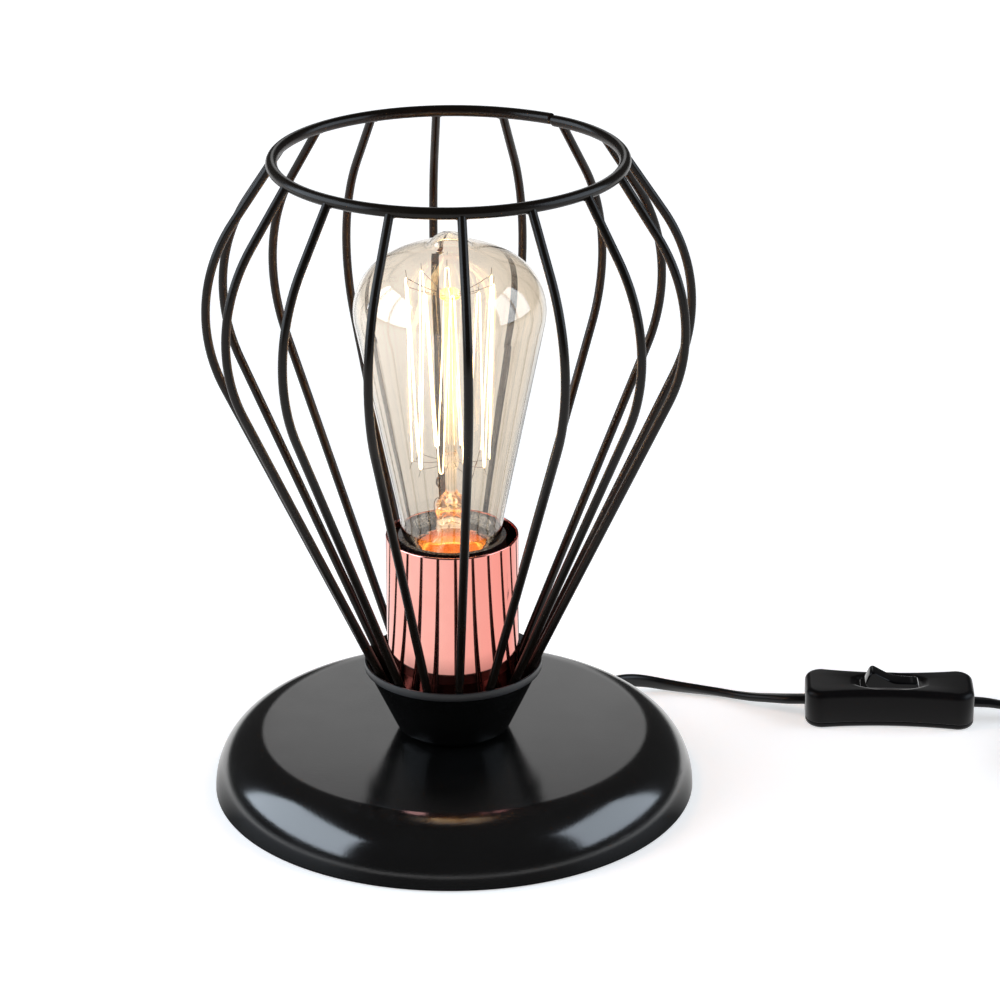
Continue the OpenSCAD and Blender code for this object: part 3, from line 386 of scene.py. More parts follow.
# %% Finish: one material
class Finish(Nodes):
    """One material: a Principled shader, and whatever feeds it."""

    def __init__(self, name, **constants):
        self.material = bpy.data.materials.new(name)
        self.material.use_nodes = True
        super().__init__(self.material.node_tree)
        self.shader = self.tree.nodes["Principled BSDF"]
        self.feed(**constants)
        finishes[name] = self

    def feed(self, **values):
        """Values or links for the shader's inputs, with _ for the space in their names."""
        self.plug_in(self.shader, {key.replace("_", " "): value for key, value in values.items()})

    def place(self, stretch=(1, 1, 1)):
        """Where on the piece, in metres, with each axis stretched."""
        spot = self.node("TexCoord", output="Object")
        return self.node("VectorMath", {"operation": "MULTIPLY"}, {0: spot, 1: stretch})

    def along(self, axis):
        """How far along one axis a spot lies, in metres."""
        return self.node("SeparateXYZ", {}, {0: self.place()}, output=axis)

    def grain(self, scale, detail=3, roughness=0.5, stretch=(1, 1, 1)):
        """A noise from 0 to 1. Its scale is in cells per metre."""
        values = {"Vector": self.place(stretch), "Scale": scale, "Detail": detail, "Roughness": roughness}
        return self.node("TexNoise", {}, values)

    def raised(self, height, distance, strength):
        """Bumps of that height, a distance in metres."""
        values = {"Height": height, "Distance": distance, "Strength": strength}
        self.feed(Normal=self.node("Bump", {}, values))


def tone(r, g, b):
    return (r, g, b, 1.0)


def grey(value):
    return (value,) * 3


# %% [markdown]
# ## Satin black metal
#
# The base, the cup and the cage wear the same satin black coat. Up close it has a very fine
# orange-peel grain, and its gloss changes slightly from place to place where hands and dust
# have been. A grain of about half a millimetre goes into the bumps, and a slow one into the
# roughness, so highlights break up softly and don't look like plastic. The base has the most
# gloss. The band round the cup's mouth is matt and a little paler, and the rods are duller than
# the base and have a trace of brown, as where a coat is thin.

# %% Coats of the base, the cup and the rods
BAND_LOW = 43.9
MATT_ROUGH, MATT_TONE = 0.42, tone(0.009, 0.0092, 0.01)


def satin_coat(name, rough, gloss, grain_depth, low=grey(0.002), high=grey(0.005), matt_above=1.0):
    """A coat with two tones and a range of roughness, and matt above a height in metres."""
    made = Finish(name, Specular_IOR_Level=gloss)
    cloud = made.between(made.grain(28, 4, 0.6), 0.35, 0.65)
    speck = made.between(made.grain(1700, 2, 0.5), 0.3, 0.75)
    matt = made.between(made.along("Z"), matt_above - 0.0001, matt_above + 0.0001)
    paint = made.mixed(cloud * 0.6 + speck * 0.4, tone(*low), tone(*high))
    satin = made.between(cloud * 0.7 + speck * 0.3, 0, 1, *rough)
    made.feed(Base_Color=made.mixed(matt, paint, MATT_TONE), Roughness=satin * (1 - matt) + matt * MATT_ROUGH)
    made.raised(speck, grain_depth, 0.5)
    return made


coat = satin_coat("satin_base_coat", (0.1, 0.18), 1.0, 0.000018)
cup_coat = satin_coat("satin_cup_coat", (0.12, 0.2), 0.7, 0.000006, matt_above=BAND_LOW * MM)
rod_coat = satin_coat("satin_rod_coat", (0.18, 0.3), 0.22, 0.000008,
                      (0.006, 0.004, 0.003), (0.013, 0.009, 0.006))
finishes["satin_black_metal"] = coat

# %% [markdown]
# ## Polished copper
#
# The sleeve is copper-plated and polished on a lathe. It mirrors the rods as thin dark lines,
# so it must stay nearly smooth. Only a trace of the fine rings left by polishing goes into the
# bumps. The colour drifts a little between pink and salmon. Towards the right it is painted
# redder and darker, as painted shade on the side away from the stronger light.

# %% Copper of the sleeve
copper = Finish("polished_copper", Metallic=1.0)
rings = copper.grain(900, 3, 0.6, (0.04, 0.04, 1))
cloud = copper.between(copper.grain(45, 4, 0.6), 0.3, 0.7)
# painted shade: the copper turns redder and darker towards the right side
copper_painted_shade_right = copper.between(copper.along("X"), -0.006, 0.016)
pale = copper.mixed(cloud, tone(0.88, 0.38, 0.32), tone(0.94, 0.45, 0.39))
copper.feed(
    Base_Color=copper.mixed(copper_painted_shade_right, pale, tone(0.84, 0.29, 0.24)),
    Roughness=copper.between(rings * 0.6 + cloud * 0.4, 0.3, 0.7, 0.03, 0.08),
)
copper.raised(rings, 0.000003, 0.3)

# %% [markdown]
# ## Metals of the small parts
#
# Iron, zinc, brass and nickel differ in colour and in how dull they are. The marks left by
# rolling, turning or plating are all a fine noise, so one recipe serves them: a dark and a
# light tone, a range of roughness, and the size and depth of the marks.

# %% Bare and plated metals
def metal(name, low, high, rough, scale=400, grain_depth=0.00001, stretch=(1, 1, 1)):
    made = Finish(name, Metallic=1.0)
    mark = made.between(made.grain(scale, 4, 0.6, stretch), 0.3, 0.7)
    made.feed(Base_Color=made.mixed(mark, tone(*low), tone(*high)),
              Roughness=made.between(mark, 0, 1, *rough))
    made.raised(mark, grain_depth, 0.5)


metal("raw_iron", (0.16, 0.15, 0.14), (0.3, 0.29, 0.28), (0.5, 0.7), 300, 0.0002)
metal("zinc_steel", grey(0.5), (0.66, 0.66, 0.68), (0.25, 0.4))
metal("contact_brass", (0.7, 0.52, 0.24), (0.82, 0.64, 0.34), (0.18, 0.3))
metal("bulb_wire", (0.1, 0.08, 0.07), (0.2, 0.16, 0.13), (0.25, 0.4))
metal("cap_metal", (0.78, 0.52, 0.26), (0.88, 0.64, 0.36), (0.2, 0.35), 700, 0.00002, (1, 1, 0.2))
metal("plated_pins", (0.66, 0.65, 0.64), (0.78, 0.77, 0.76), (0.12, 0.22), 800)
print("finishes", len(finishes))

# %% [markdown]
# ## Plastics, rubber and felt
#
# The switch, the plug, the cord and the wires inside are all moulded or extruded plastic. Such
# a surface has a fine spark-eroded or drawn texture and hardly any change of colour. The felt
# under the base is the same recipe with coarse, deep grain and no gloss.

# %% Moulded plastics, rubber and felt
def moulded(name, low, high, rough, scale=900, grain_depth=0.00002, slow=30, gloss=0.5):
    made = Finish(name, Specular_IOR_Level=gloss)
    fine = made.between(made.grain(scale, 2, 0.5), 0.3, 0.7)
    wide = made.between(made.grain(slow, 4, 0.6), 0.3, 0.7)
    made.feed(Base_Color=made.mixed(fine * 0.4 + wide * 0.6, tone(*low), tone(*high)),
              Roughness=made.between(fine * 0.4 + wide * 0.6, 0, 1, *rough))
    made.raised(fine, grain_depth, 0.6)


moulded("moulded_black", (0.003, 0.003, 0.0035), (0.008, 0.008, 0.009), (0.22, 0.34))
moulded("black_insulator", (0.005, 0.005, 0.006), (0.012, 0.011, 0.012), (0.12, 0.2))
moulded("glossy_rocker", (0.001, 0.001, 0.0015), (0.003, 0.003, 0.004), (0.03, 0.07),
        700, 0.000002, gloss=0.2)
moulded("matt_black_housing", (0.004, 0.0036, 0.004), (0.007, 0.0062, 0.0065), (0.3, 0.4),
        1900, 0.00001, gloss=0.12)
moulded("soft_black_grommet", grey(0.012), grey(0.022), (0.55, 0.7))
moulded("cord_sheath", (0.003, 0.003, 0.0035), (0.007, 0.007, 0.008), (0.3, 0.4), 1200, 0.00001, gloss=0.3)
moulded("brown_lead", (0.16, 0.07, 0.03), (0.25, 0.12, 0.05), (0.3, 0.42))
moulded("blue_lead", (0.03, 0.12, 0.45), (0.06, 0.2, 0.6), (0.3, 0.42))
moulded("tie_band", grey(0.01), grey(0.02), (0.4, 0.55), 1500, 0.00004)
moulded("black_felt", grey(0.012), grey(0.04), (0.9, 1.0), 2200, 0.0004, 90)
print("finishes", len(finishes))

# %% [markdown]
# ## Glass
#
# The bulb's glass is stained a smoky amber, stronger in the narrow neck, where it is looked
# through on a slant. It is also painted darker on the right side, as painted shade. The stem
# inside is clear, but it carries the glow of the filament up its rod and down into the neck,
# where it turns orange. That glow is painted by height as a faint light of its own, because
# tracing it through so much glass would take very long. Two noises break up that painted glow:
# across the press it stays only in thin lines, as painted glints, and low in the neck it has
# orange patches.

# %% Glass of the bulb
amber = Finish("amber_glass", Transmission_Weight=1.0, IOR=1.58, Coat_Weight=0.15, Coat_IOR=1.6,
               Coat_Roughness=0.0)
cloud = amber.between(amber.grain(20, 3, 0.5), 0.3, 0.7)
high = amber.between(amber.along("Z"), 0.11, 0.17)
# painted shade: the glass is tinted darker towards the right side
shaded = amber.between(amber.along("X"), 0.004, 0.03)
tint = amber.mixed(high, tone(0.81, 0.744, 0.655), tone(0.97, 0.9, 0.81))
tint = amber.mixed(shaded * 0.7, tint, tone(0.77, 0.68, 0.56))
amber.feed(Base_Color=amber.mixed(cloud * 0.2, tint, tone(0.9, 0.83, 0.74)),
           Roughness=amber.between(cloud, 0, 1, 0.0, 0.004))

# %% Glass of the stem: its glow from the foot to the button, by share of its height
STEM_FOOT, STEM_END = 0.084, 0.182
stem = Finish("stem_glass", Transmission_Weight=1.0, IOR=1.5, Emission_Strength=1.0)
cloud = stem.between(stem.grain(90, 3, 0.5), 0.3, 0.7)
foot_glow = [(0.0, tone(1.0, 0.5, 0.1)), (0.014, tone(1.0, 0.45, 0.08)), (0.02, tone(0.62, 0.13, 0.012)),
             (0.07, tone(0.42, 0.085, 0.008)), (0.11, tone(0.1, 0.03, 0.006)),
             (0.135, tone(0.06, 0.025, 0.008))]
press_glow = [(0.15, tone(0.6, 0.3, 0.1)), (0.2, tone(0.8, 0.55, 0.26)), (0.24, tone(0.6, 0.3, 0.1)),
              (0.25, tone(0.03, 0.015, 0.004)), (0.35, tone(0.2, 0.11, 0.03)),
              (0.4, tone(0.03, 0.02, 0.005))]
rod_glow = [(0.6, tone(0.55, 0.3, 0.04)), (0.9, tone(0.6, 0.32, 0.04)), (0.95, tone(1.0, 0.35, 0.04))]
shine = stem.node("ValToRGB", {"stops": foot_glow + press_glow + rod_glow},
                  {0: stem.between(stem.along("Z"), STEM_FOOT, STEM_END)})
# painted glow: orange patches mixed into the painted glow low in the neck
painted_glow_patches = stem.between(stem.grain(330, 3, 0.6), 0.4, 0.6) * stem.between(stem.along("Z"), 0.0925, 0.0905)
shine = stem.mixed(painted_glow_patches * 0.5, shine, tone(0.7, 0.2, 0.05))
# painted glints: across the press the painted glow stays only in thin lines and is dark between them
painted_glint_gaps = stem.grain(260, 3, 0.6) - 0.5
painted_glint_gaps = stem.between(painted_glint_gaps.maths("ABSOLUTE", painted_glint_gaps), 0.012, 0.04)
press = stem.between(stem.along("Z"), 0.109, 0.107) * stem.between(stem.along("Z"), 0.0945, 0.0955)
shine = stem.mixed(press * painted_glint_gaps, shine, tone(0.1, 0.055, 0.025))
stem.feed(Base_Color=stem.mixed(cloud, tone(0.95, 0.9, 0.8), tone(0.99, 0.97, 0.92)),
          Roughness=stem.between(cloud, 0, 1, 0.02, 0.08), Emission_Color=shine)

# %% [markdown]
# ## The lit filament
#
# The filament is a fine drawn wire at a yellow heat. It is the lamp's own light: seen through
# the glass or in a mirror it looks cream to white, and what it throws on the rods is a warmer
# orange, as in the photograph. A slow change along it keeps the strands from looking ruled.

# %% Filament that glows
glow = Finish("lit_filament", Metallic=1.0, Roughness=0.4, Emission_Strength=60.0)
wave = glow.between(glow.grain(160, 2, 0.5), 0.35, 0.65)
_, mirror_ray, glass_ray = glow.ray_kinds()
thrown = glow.mixed(wave, tone(1.0, 0.37, 0.09), tone(1.0, 0.42, 0.11))
seen = glow.mixed(wave, tone(0.075, 0.055, 0.028), tone(0.11, 0.09, 0.056))
glow.feed(Base_Color=glow.mixed(wave, tone(0.5, 0.35, 0.2), tone(0.6, 0.45, 0.3)),
          Emission_Color=glow.mixed(glass_ray + mirror_ray, thrown, seen))
print("finishes", len(finishes))

# %% [markdown]
# ## Dress the solids
#
# Every solid gets the finish of its slot in the record, also the inner ones that only show
# when the lamp is taken apart. The pieces that are made below are given theirs one by one.

# %% Give every solid its finish
slot_of = {part["node"]: part["material_slot"] for part in frame["record"]["subparts"]}
for name, solid in frame["nodes"].items():
    solid.data.materials.clear()
    solid.data.materials.append(finishes[slot_of[name]].material)
for cord in (cord_to_switch, cord_to_plug):
    cord.data.materials.append(finishes["cord_sheath"].material)

# %% [markdown]
# ## The base
#
# The real base is spun from one disc: a flat top, a wide soft edge and a turned-in rim at the
# bottom, under which the felt shows as a thin dark line. A lathe outline with many steps in
# the edge keeps its long highlight smooth.

# %% Base shell
BASE_H, BASE_R, FLAT_R, HOLE_R, EDGE_LOW, BASE_WALL = 20.5, 82.5, 65.0, 5.2, 0.5, 1.5


def base_edge(inset, steps=44):
    """The soft edge, a quarter of an ellipse from the flat top down, moved in by the inset."""
    wide, high = BASE_R - FLAT_R - inset, BASE_H - EDGE_LOW - inset
    turns = [math.pi / 2 * (1 - i / steps) for i in range(steps + 1)]
    return [(FLAT_R + wide * math.cos(a), EDGE_LOW + high * math.sin(a)) for a in turns]


# The inner edge stops five steps early, where it meets the top of the turned-in rim.
outside = [(HOLE_R, BASE_H), (30, BASE_H)] + base_edge(0) + [(82.4, 0.35), (82.1, 0.3), (81.5, 0.3)]
inside = [(74.5, 1.2), (74.5, 2.7), (80.4, 2.7)] + base_edge(BASE_WALL)[-6::-1]
inside += [(HOLE_R, BASE_H - BASE_WALL)]
base = Shape().turned(outside + inside, 192, round_trip=True).piece(
    "base_spun_shell", "lamp", "satin_black_metal", ["base_shell"])
show_size(base)

# %% [markdown]
# ## The cup
#
# The rods lie inside a small conical cup. Its bottom is turned over a radius of 5 mm, and a
# thicker band runs round its mouth. Small bevels on the band catch the light as on the real
# one. The cup is worked out from the rods, so their lower leg and wide bend come first.

# %% The lower leg of a rod, and the cup's wall behind it
LEAN = math.radians(25.0035)
BEND_X, BEND_Z, BEND_R = 22.2879, 172, 58.0121
ROD_TO_WALL = 1.55
bend_low = (BEND_X + BEND_R * math.cos(LEAN), BEND_Z - BEND_R * math.sin(LEAN))


def rod_r_at(z):
    """How far a rod's axis stands from the lamp's axis, on its lower leg."""
    return bend_low[0] - (bend_low[1] - z) * math.tan(LEAN)


def cup_r_at(z):
    """How far the cup's inner wall stands from the lamp's axis."""
    return rod_r_at(z) + ROD_TO_WALL / math.cos(LEAN)


# %% Cup
CUP_TOP, CUP_FOOT, TURN_R, CUP_WALL = 46.7, 20.5, 5, 1
slant = CUP_WALL / math.cos(LEAN)
turn_low = CUP_FOOT + TURN_R * (1 - math.sin(LEAN))
turn_x = cup_r_at(turn_low) + slant - TURN_R * math.cos(LEAN)


def cup_turn(r, steps=12):
    """The turn from the cup's bottom into its wall."""
    turns = [-math.pi / 2 + (math.pi / 2 - LEAN) * i / steps for i in range(steps + 1)]
    return [(turn_x + r * math.cos(a), CUP_FOOT + TURN_R + r * math.sin(a)) for a in turns]


band_r = cup_r_at(BAND_LOW) + slant + 1
band = [(band_r - 1, BAND_LOW), (band_r - 0.2, BAND_LOW), (band_r - 0.06, BAND_LOW + 0.06),
        (band_r, BAND_LOW + 0.2), (band_r, CUP_TOP - 0.2), (band_r - 0.06, CUP_TOP - 0.06),
        (band_r - 0.2, CUP_TOP)]
outside = [(5.1, CUP_FOOT)] + cup_turn(TURN_R) + band
lip_r = cup_r_at(CUP_TOP)
inside = [(lip_r + 0.4, CUP_TOP), (lip_r + 0.2, CUP_TOP - 0.05), (lip_r + 0.02, CUP_TOP - 0.2)]
inside += [(cup_r_at(CUP_TOP - 0.4), CUP_TOP - 0.4)] + cup_turn(TURN_R - CUP_WALL)[::-1]
inside += [(5.1, CUP_FOOT + CUP_WALL)]
cup = Shape().turned(outside + inside, round_trip=True).piece(
    "turned_cup", "lamp", "satin_black_metal", ["cup"], cup_coat)
show_size(cup)

# %% [markdown]
# ## The copper sleeve
#
# A thin polished tube stands in the cup round the holder, down to where the rods hide its end.
# A flange inside rests on the holder. Its mouth is turned in slightly, and that small round
# shows as the brightest line on the lamp. Just below the mouth the outline has one point more:
# it keeps the smooth shading of the round out of the long wall, which would mirror askew.

# %% Copper sleeve
SLEEVE_R, BORE_R, FLANGE_R, SLEEVE_LOW, FLANGE_LOW = 22.5, 21.7, 18.4, 41, 51.5
wall = [(BORE_R, SLEEVE_LOW), (22.3, SLEEVE_LOW), (SLEEVE_R, 41.2), (SLEEVE_R, 91.9), (SLEEVE_R, 92.2)]
mouth = [(22.43, 92.5), (22.25, 92.66), (22.1, 92.7), (21.9, 92.6), (21.78, 92.4), (BORE_R, 92.1)]
flange = [(BORE_R, 52.3), (FLANGE_R, 52.3), (FLANGE_R, FLANGE_LOW), (BORE_R, FLANGE_LOW)]
sleeve = Shape().turned(wall + mouth + flange, round_trip=True).piece(
    "copper_sleeve", "lamp", "polished_copper", ["holder_sleeve"])
show_size(sleeve)

# %% [markdown]
# ## The cage
#
# Sixteen rods are bent from 3 mm wire. Each lies against the inside of the cup, leans out, goes
# round one wide bend and leans in to the ring. The ring lies on the rods' ends, and a small
# bead of weld shows on both sides of each. The beads are lumps of slightly different sizes,
# seeded by the rod's number, because no two welds are alike.

# %% A lump of weld
def lump(shape, centre, radii, turn, steps=10, seed=0):
    """A rounded lump of weld with a slightly uneven skin."""
    rings = []
    for i in range(steps + 1):
        polar = math.pi * i / steps
        ring = []
        for k in range(2 * steps if 0 < i < steps else 1):
            a = math.pi * k / steps
            spot = Vector((math.sin(polar) * math.cos(a), math.sin(polar) * math.sin(a), math.cos(polar)))
            swell = 1 + 0.1 * noise.noise(spot * 1.7 + Vector((seed * 3.1, seed * 1.7, 0)))
            local = Vector([spot[n] * radii[n] * swell for n in range(3)])
            ring.append(Vector(centre) + Matrix.Rotation(turn, 3, "Z") @ local)
        rings.append(ring)
    shape.skin(rings, closed=False)


# %% Rods
RING_R, RING_Z, ROD_R, ROD_LOW = 57.4, 223.7, 1.5, 33.2
ROD_COUNT, FIRST_ROD, UPPER_LEAN = 16, 4.7 - 90, math.radians(33.98)


def rod(number, bend_steps=24):
    """One rod from the cup to the ring, with a lump of weld on each side of its end."""
    turn = math.radians(FIRST_ROD + 360 / ROD_COUNT * (number - 1))
    out = Vector((math.cos(turn), math.sin(turn), 0))
    side = Vector((-math.sin(turn), math.cos(turn), 0))
    spots = [(rod_r_at(z), z) for z in (ROD_LOW, 33.5, 90)]
    for i in range(bend_steps + 1):
        a = -LEAN + (LEAN + UPPER_LEAN) * i / bend_steps
        spots.append((BEND_X + BEND_R * math.cos(a), BEND_Z + BEND_R * math.sin(a)))
    end = Vector((RING_R - spots[-1][0], RING_Z - spots[-1][1]))
    spots.append((spots[-1][0] + end.x * 0.5, spots[-1][1] + end.y * 0.5))
    spots.append((RING_R, RING_Z))
    route = [out * r + Vector((0, 0, z)) for r, z in spots]
    shape = Shape().skin(tube_rings(route, lambda i: side, lambda i: circle_section(ROD_R, 14)))
    for way in (1, -1):
        wide = 0.75 + 0.2 * noise.noise(Vector((number * 2.3, way, 0)))
        centre = out * (RING_R + 0.1) + side * way * 1.3 + Vector((0, 0, RING_Z - 1.45))
        lump(shape, centre, (1.0, wide, 0.75), turn, seed=number + way)
    name = f"bent_rod_{number:02d}"
    return shape.piece(name, "lamp", "satin_black_metal", [f"cage_rod_{number:02d}"], rod_coat)


rods = [rod(number) for number in range(1, ROD_COUNT + 1)]
print("rods", len(rods), "rise to", RING_Z)

# %% [markdown]
# ## The top ring
#
# The ring is one 4 mm wire bent round. Its two ends were welded and filed, but not quite in
# line: at the back right one end stands a little higher and a narrow notch is left. The ring's
# sections stand closer together there, so that the notch can be drawn.

# %% Top ring
RING_JOINT, WIRE_R, NOTCH, STEP_UP = math.radians(53), 1.95, 0.3, 0.28
turns = [math.tau * i / 240 for i in range(240)]
turns += [RING_JOINT + (i - 12.5) * 0.25 / RING_R for i in range(26)]
sections = []
for a in sorted(a % math.tau for a in turns):
    away = math.atan2(math.sin(a - RING_JOINT), math.cos(a - RING_JOINT)) * RING_R
    notch = NOTCH * math.exp(-(away / 0.4) ** 2)
    lift = STEP_UP * math.tanh(away / 0.4) * math.exp(-abs(away) / 9)
    out = Vector((math.cos(a), math.sin(a), 0))
    centre = out * (RING_R - lift * 0.3) + Vector((0, 0, RING_Z + lift))
    sections.append([centre + out * x + Vector((0, 0, y)) for x, y in circle_section(WIRE_R - notch, 20)])
shape = Shape().skin(sections, round_trip=True)
shape.piece("welded_ring", "lamp", "satin_black_metal", ["top_ring"], rod_coat)
print("sections round the ring", len(sections))

# %% [markdown]
# ## The bulb
#
# The bulb is blown glass with an amber tint: a straight neck in the cap, a slender shoulder,
# a body that widens to the belly, and a round crown with the small tip left by sealing it.
# Glass looks right only with two walls, an outer and an inner one, because light bends at
# both. Its shadow is left out, so the glowing filament lights the cage.

# %% The bulb's outer wall
def arc(centre, r, start, end, steps):
    """Points round a centre, from one angle to another, in degrees."""
    turns = [math.radians(start + (end - start) * i / steps) for i in range(steps + 1)]
    return [(centre[0] + r * math.cos(a), centre[1] + r * math.sin(a)) for a in turns]


def smooth_outline(points, steps):
    """A smooth line through points of radius and height."""
    return [(max(p[0], 0), p[1]) for p in smooth_rows([(r, z, 0) for r, z in points], steps)]


BULB_Z, NECK_R, SHOULDER_R, KNEE_Z, KNEE_H, GLASS_WALL = 62.1, 12.6, 17.5577, 27, 10, 1.0
BELLY_X, BELLY_Z, BELLY_R, CROWN_Z, CROWN_R, CROWN_TURN = 12, 110, 20, 90.5235, 42.8765, 58.3616
shares = [(0, 0), (0.26, 0.03), (0.5, 0.12), (0.7, 0.28), (0.86, 0.45), (0.96, 0.65), (1, 1)]
knee = [(NECK_R + (SHOULDER_R - NECK_R) * a, KNEE_Z + KNEE_H * b) for a, b in shares]
wall_out = [(NECK_R, 22), (NECK_R, 24)] + smooth_outline([(NECK_R, 26.4)] + knee, 4)
wall_out += arc((BELLY_X, BELLY_Z), BELLY_R, -11.5, CROWN_TURN, 24)
wall_out += arc((0, CROWN_Z), CROWN_R, CROWN_TURN, 79.5, 12)[1:]
wall_out += smooth_outline([wall_out[-1], (6.6, 133.6), (5.2, 135.1), (3.0, 136.6), (0, 137.2)], 5)[1:]


# %% Glass with two walls
def moved_in(outline, wall):
    """The outline of the inner wall. It ends at the axis, straight under the tip."""
    found = []
    for i, (r, z) in enumerate(outline):
        ahead, behind = outline[min(i + 1, len(outline) - 1)], outline[max(i - 1, 0)]
        run = Vector((ahead[0] - behind[0], ahead[1] - behind[1])).normalized()
        found.append((max(r - wall * run.y, 0), z + wall * run.x))
    found[-1] = (0, outline[-1][1] - wall)
    return [p for p in found[:-1] if p[0] > 0.3] + [found[-1]]


GLASS_STEPS = 128
walls = [(r, z + BULB_Z) for r, z in wall_out + moved_in(wall_out, GLASS_WALL)[::-1]]
glass = Shape().turned(walls, GLASS_STEPS)
last = len(glass.points)
glass.between(list(range(GLASS_STEPS)), list(range(last - GLASS_STEPS, last)))
bulb = glass.piece("blown_bulb", "bulb", "amber_glass", ["bulb_glass"], crease=60)
bulb.visible_shadow = False
show_size(bulb)

# %% [markdown]
# ## The filament
#
# One long drawn wire runs up and down between two rings of hooks, nine times each way. It is
# one tube along one route, finer than its solid. At each hook the wire takes a small turn with
# a point of its own, and the long strands between are cut into short stretches.

# %% The filament's turning places
FILAMENT_TURN, PAIRS, TURN_W = 58, 9, 1.1
TOP_R, TOP_Z, FOOT_R, FOOT_Z = 14.8, 119.57, 13.0, 57.7
step = 360 / (PAIRS + 1)
top_half, foot_half = (math.degrees(TURN_W / 2 / r) for r in (TOP_R, FOOT_R))


def ring_spot(r, degrees, z):
    """A spot on a ring round the bulb's axis, at a height above the bulb's foot."""
    a = math.radians(degrees + FILAMENT_TURN)
    return (r * math.cos(a), r * math.sin(a), z + BULB_Z)


spots = [ring_spot(FOOT_R, step / 2, FOOT_Z)]
for i in range(PAIRS):
    b, c = step * (i + 1), step * (i + 1.5)
    spots += [ring_spot(TOP_R, b - top_half, TOP_Z), ring_spot(TOP_R, b, TOP_Z + TURN_W / 2),
              ring_spot(TOP_R, b + top_half, TOP_Z), ring_spot(FOOT_R, c - foot_half, FOOT_Z)]
    if i < PAIRS - 1:
        spots += [ring_spot(FOOT_R, c, FOOT_Z - TURN_W / 2), ring_spot(FOOT_R, c + foot_half, FOOT_Z)]
spots = [Vector(spot) for spot in spots]

# %% Filament
FILAMENT_R = 0.24
route = []
for a, b in zip(spots, spots[1:]):
    pieces = 12 if (b - a).length > 10 else 2
    route += [a.lerp(b, k / pieces) for k in range(pieces)]
route.append(spots[-1])
strands = Shape().skin(tube_rings(route, lambda i: Vector((route[i].x, route[i].y, 0)),
                                  lambda i: circle_section(FILAMENT_R, 8)))
strands.piece("drawn_filament", "bulb", "lit_filament", ["bulb_filament"], crease=70)
print("filament", round(run_length(route)), "mm of wire")

# %% [markdown]
# ## The glass stem
#
# The stem holds everything inside the bulb. It is a flared tube whose end is pressed flat round
# the lead-in wires, with a rod drawn up from the press, a bead for the lower hooks and a button
# for the upper ones. One skin makes it: it starts inside the hollow flare, turns over its rim,
# flattens at the press and ends at the button.

# %% Stem: rows of radius and height, and at the press two half widths and a height
def stem_ring(half_x, half_y, z, count=40):
    if half_x == 0:
        return [(0, 0, z)]
    turns = [math.tau * i / count for i in range(count)]
    return [(half_x * math.cos(a), half_y * math.sin(a), z) for a in turns]


hollow = [(0, 97.8), (3.0, 97.2), (3.9, 95.5), (4.3, 92.5), (5.6, 89.6), (8.0, 87.0), (10.2, 85.5),
          (10.9, 85.15)]
flare = [(11.45, 85.15), (11.6, 85.45), (11.0, 85.75), (9.5, 86.3), (7.8, 87.5), (6.4, 89.8), (5.6, 92.6),
         (5.2, 96), (5.1, 98)]
press = [(5.1, 4.2, 99.4), (5.5, 3.0, 100.8), (4.9, 2.2, 102), (5.3, 2.5, 103.2), (4.9, 1.9, 104.6),
         (4.2, 2.2, 105.8), (3.1, 1.9, 106.8), (2.1, 1.7, 107.8)]
rod_line = [(1.9, 109), (1.9, 116.2), (2.1, 116.9), (2.5, 117.7), (2.8, 118.6), (2.85, 119.4), (2.75, 120.2),
            (2.45, 121), (2.1, 121.8), (2.0, 122.6), (2.0, 175.8), (2.3, 176.2), (3.1, 176.5), (3.3, 176.9),
            (3.3, 178.4), (3.1, 179.1), (2.4, 179.6), (1.2, 179.75), (0, 179.8)]
rings = [stem_ring(r, r, z) for r, z in hollow + flare]
rings += [stem_ring(*row) for row in press] + [stem_ring(r, r, z) for r, z in rod_line]
Shape().skin(rings).piece("pressed_stem", "bulb", "stem_glass", ["bulb_stem"], crease=70)

# %% [markdown]
# ## Hooks and lead-in wires
#
# The hooks are hair-thin wires set in the stem's button and bead. Each runs out under the
# filament's turn, and its cut tip stands up past it, or down at the foot. They sag a little
# differently, by a noise on their number. The lead-in wires come out of the press and carry the
# filament's two ends. Their loose ends curl beside the press, with one thicker stub.

# %% Hooks
def add_wire(shape, spots, r, side):
    route = smooth_rows(spots, 4)
    shape.skin(tube_rings(route, lambda i: side, lambda i: circle_section(r, 6)))


def hook_wires(name, node, angles, line, r=0.1):
    """One hook at each angle, along a line of radius and height."""
    shape = Shape()
    for number, degrees in enumerate(angles):
        a = math.radians(degrees + FILAMENT_TURN)
        sway = 0.35 * noise.noise(Vector((number * 1.9, line[0][1], 0)))
        spots = [(out * math.cos(a), out * math.sin(a), z + sway * out / 15) for out, z in line]
        add_wire(shape, spots, r, Vector((-math.sin(a), math.cos(a), 0)))
    shape.piece(name, "bulb", "bulb_wire", [node])


upper = [(2.6, 178.3), (5.5, 178.7), (9.5, 180), (13, 181.5), (14.3, 182), (14.7, 182.9), (14.9, 184.8)]
lower = [(2.4, 119.4), (6, 118.6), (9.5, 118.7), (12.3, 119.2), (12.9, 119.3), (13.3, 118.3), (13.9, 116.6)]
hook_wires("upper_hook_wires", "upper_hooks", [step * (i + 1) for i in range(PAIRS)], upper)
hook_wires("lower_hook_wires", "lower_hooks", [step * (i + 1.5) for i in range(PAIRS - 1)], lower)

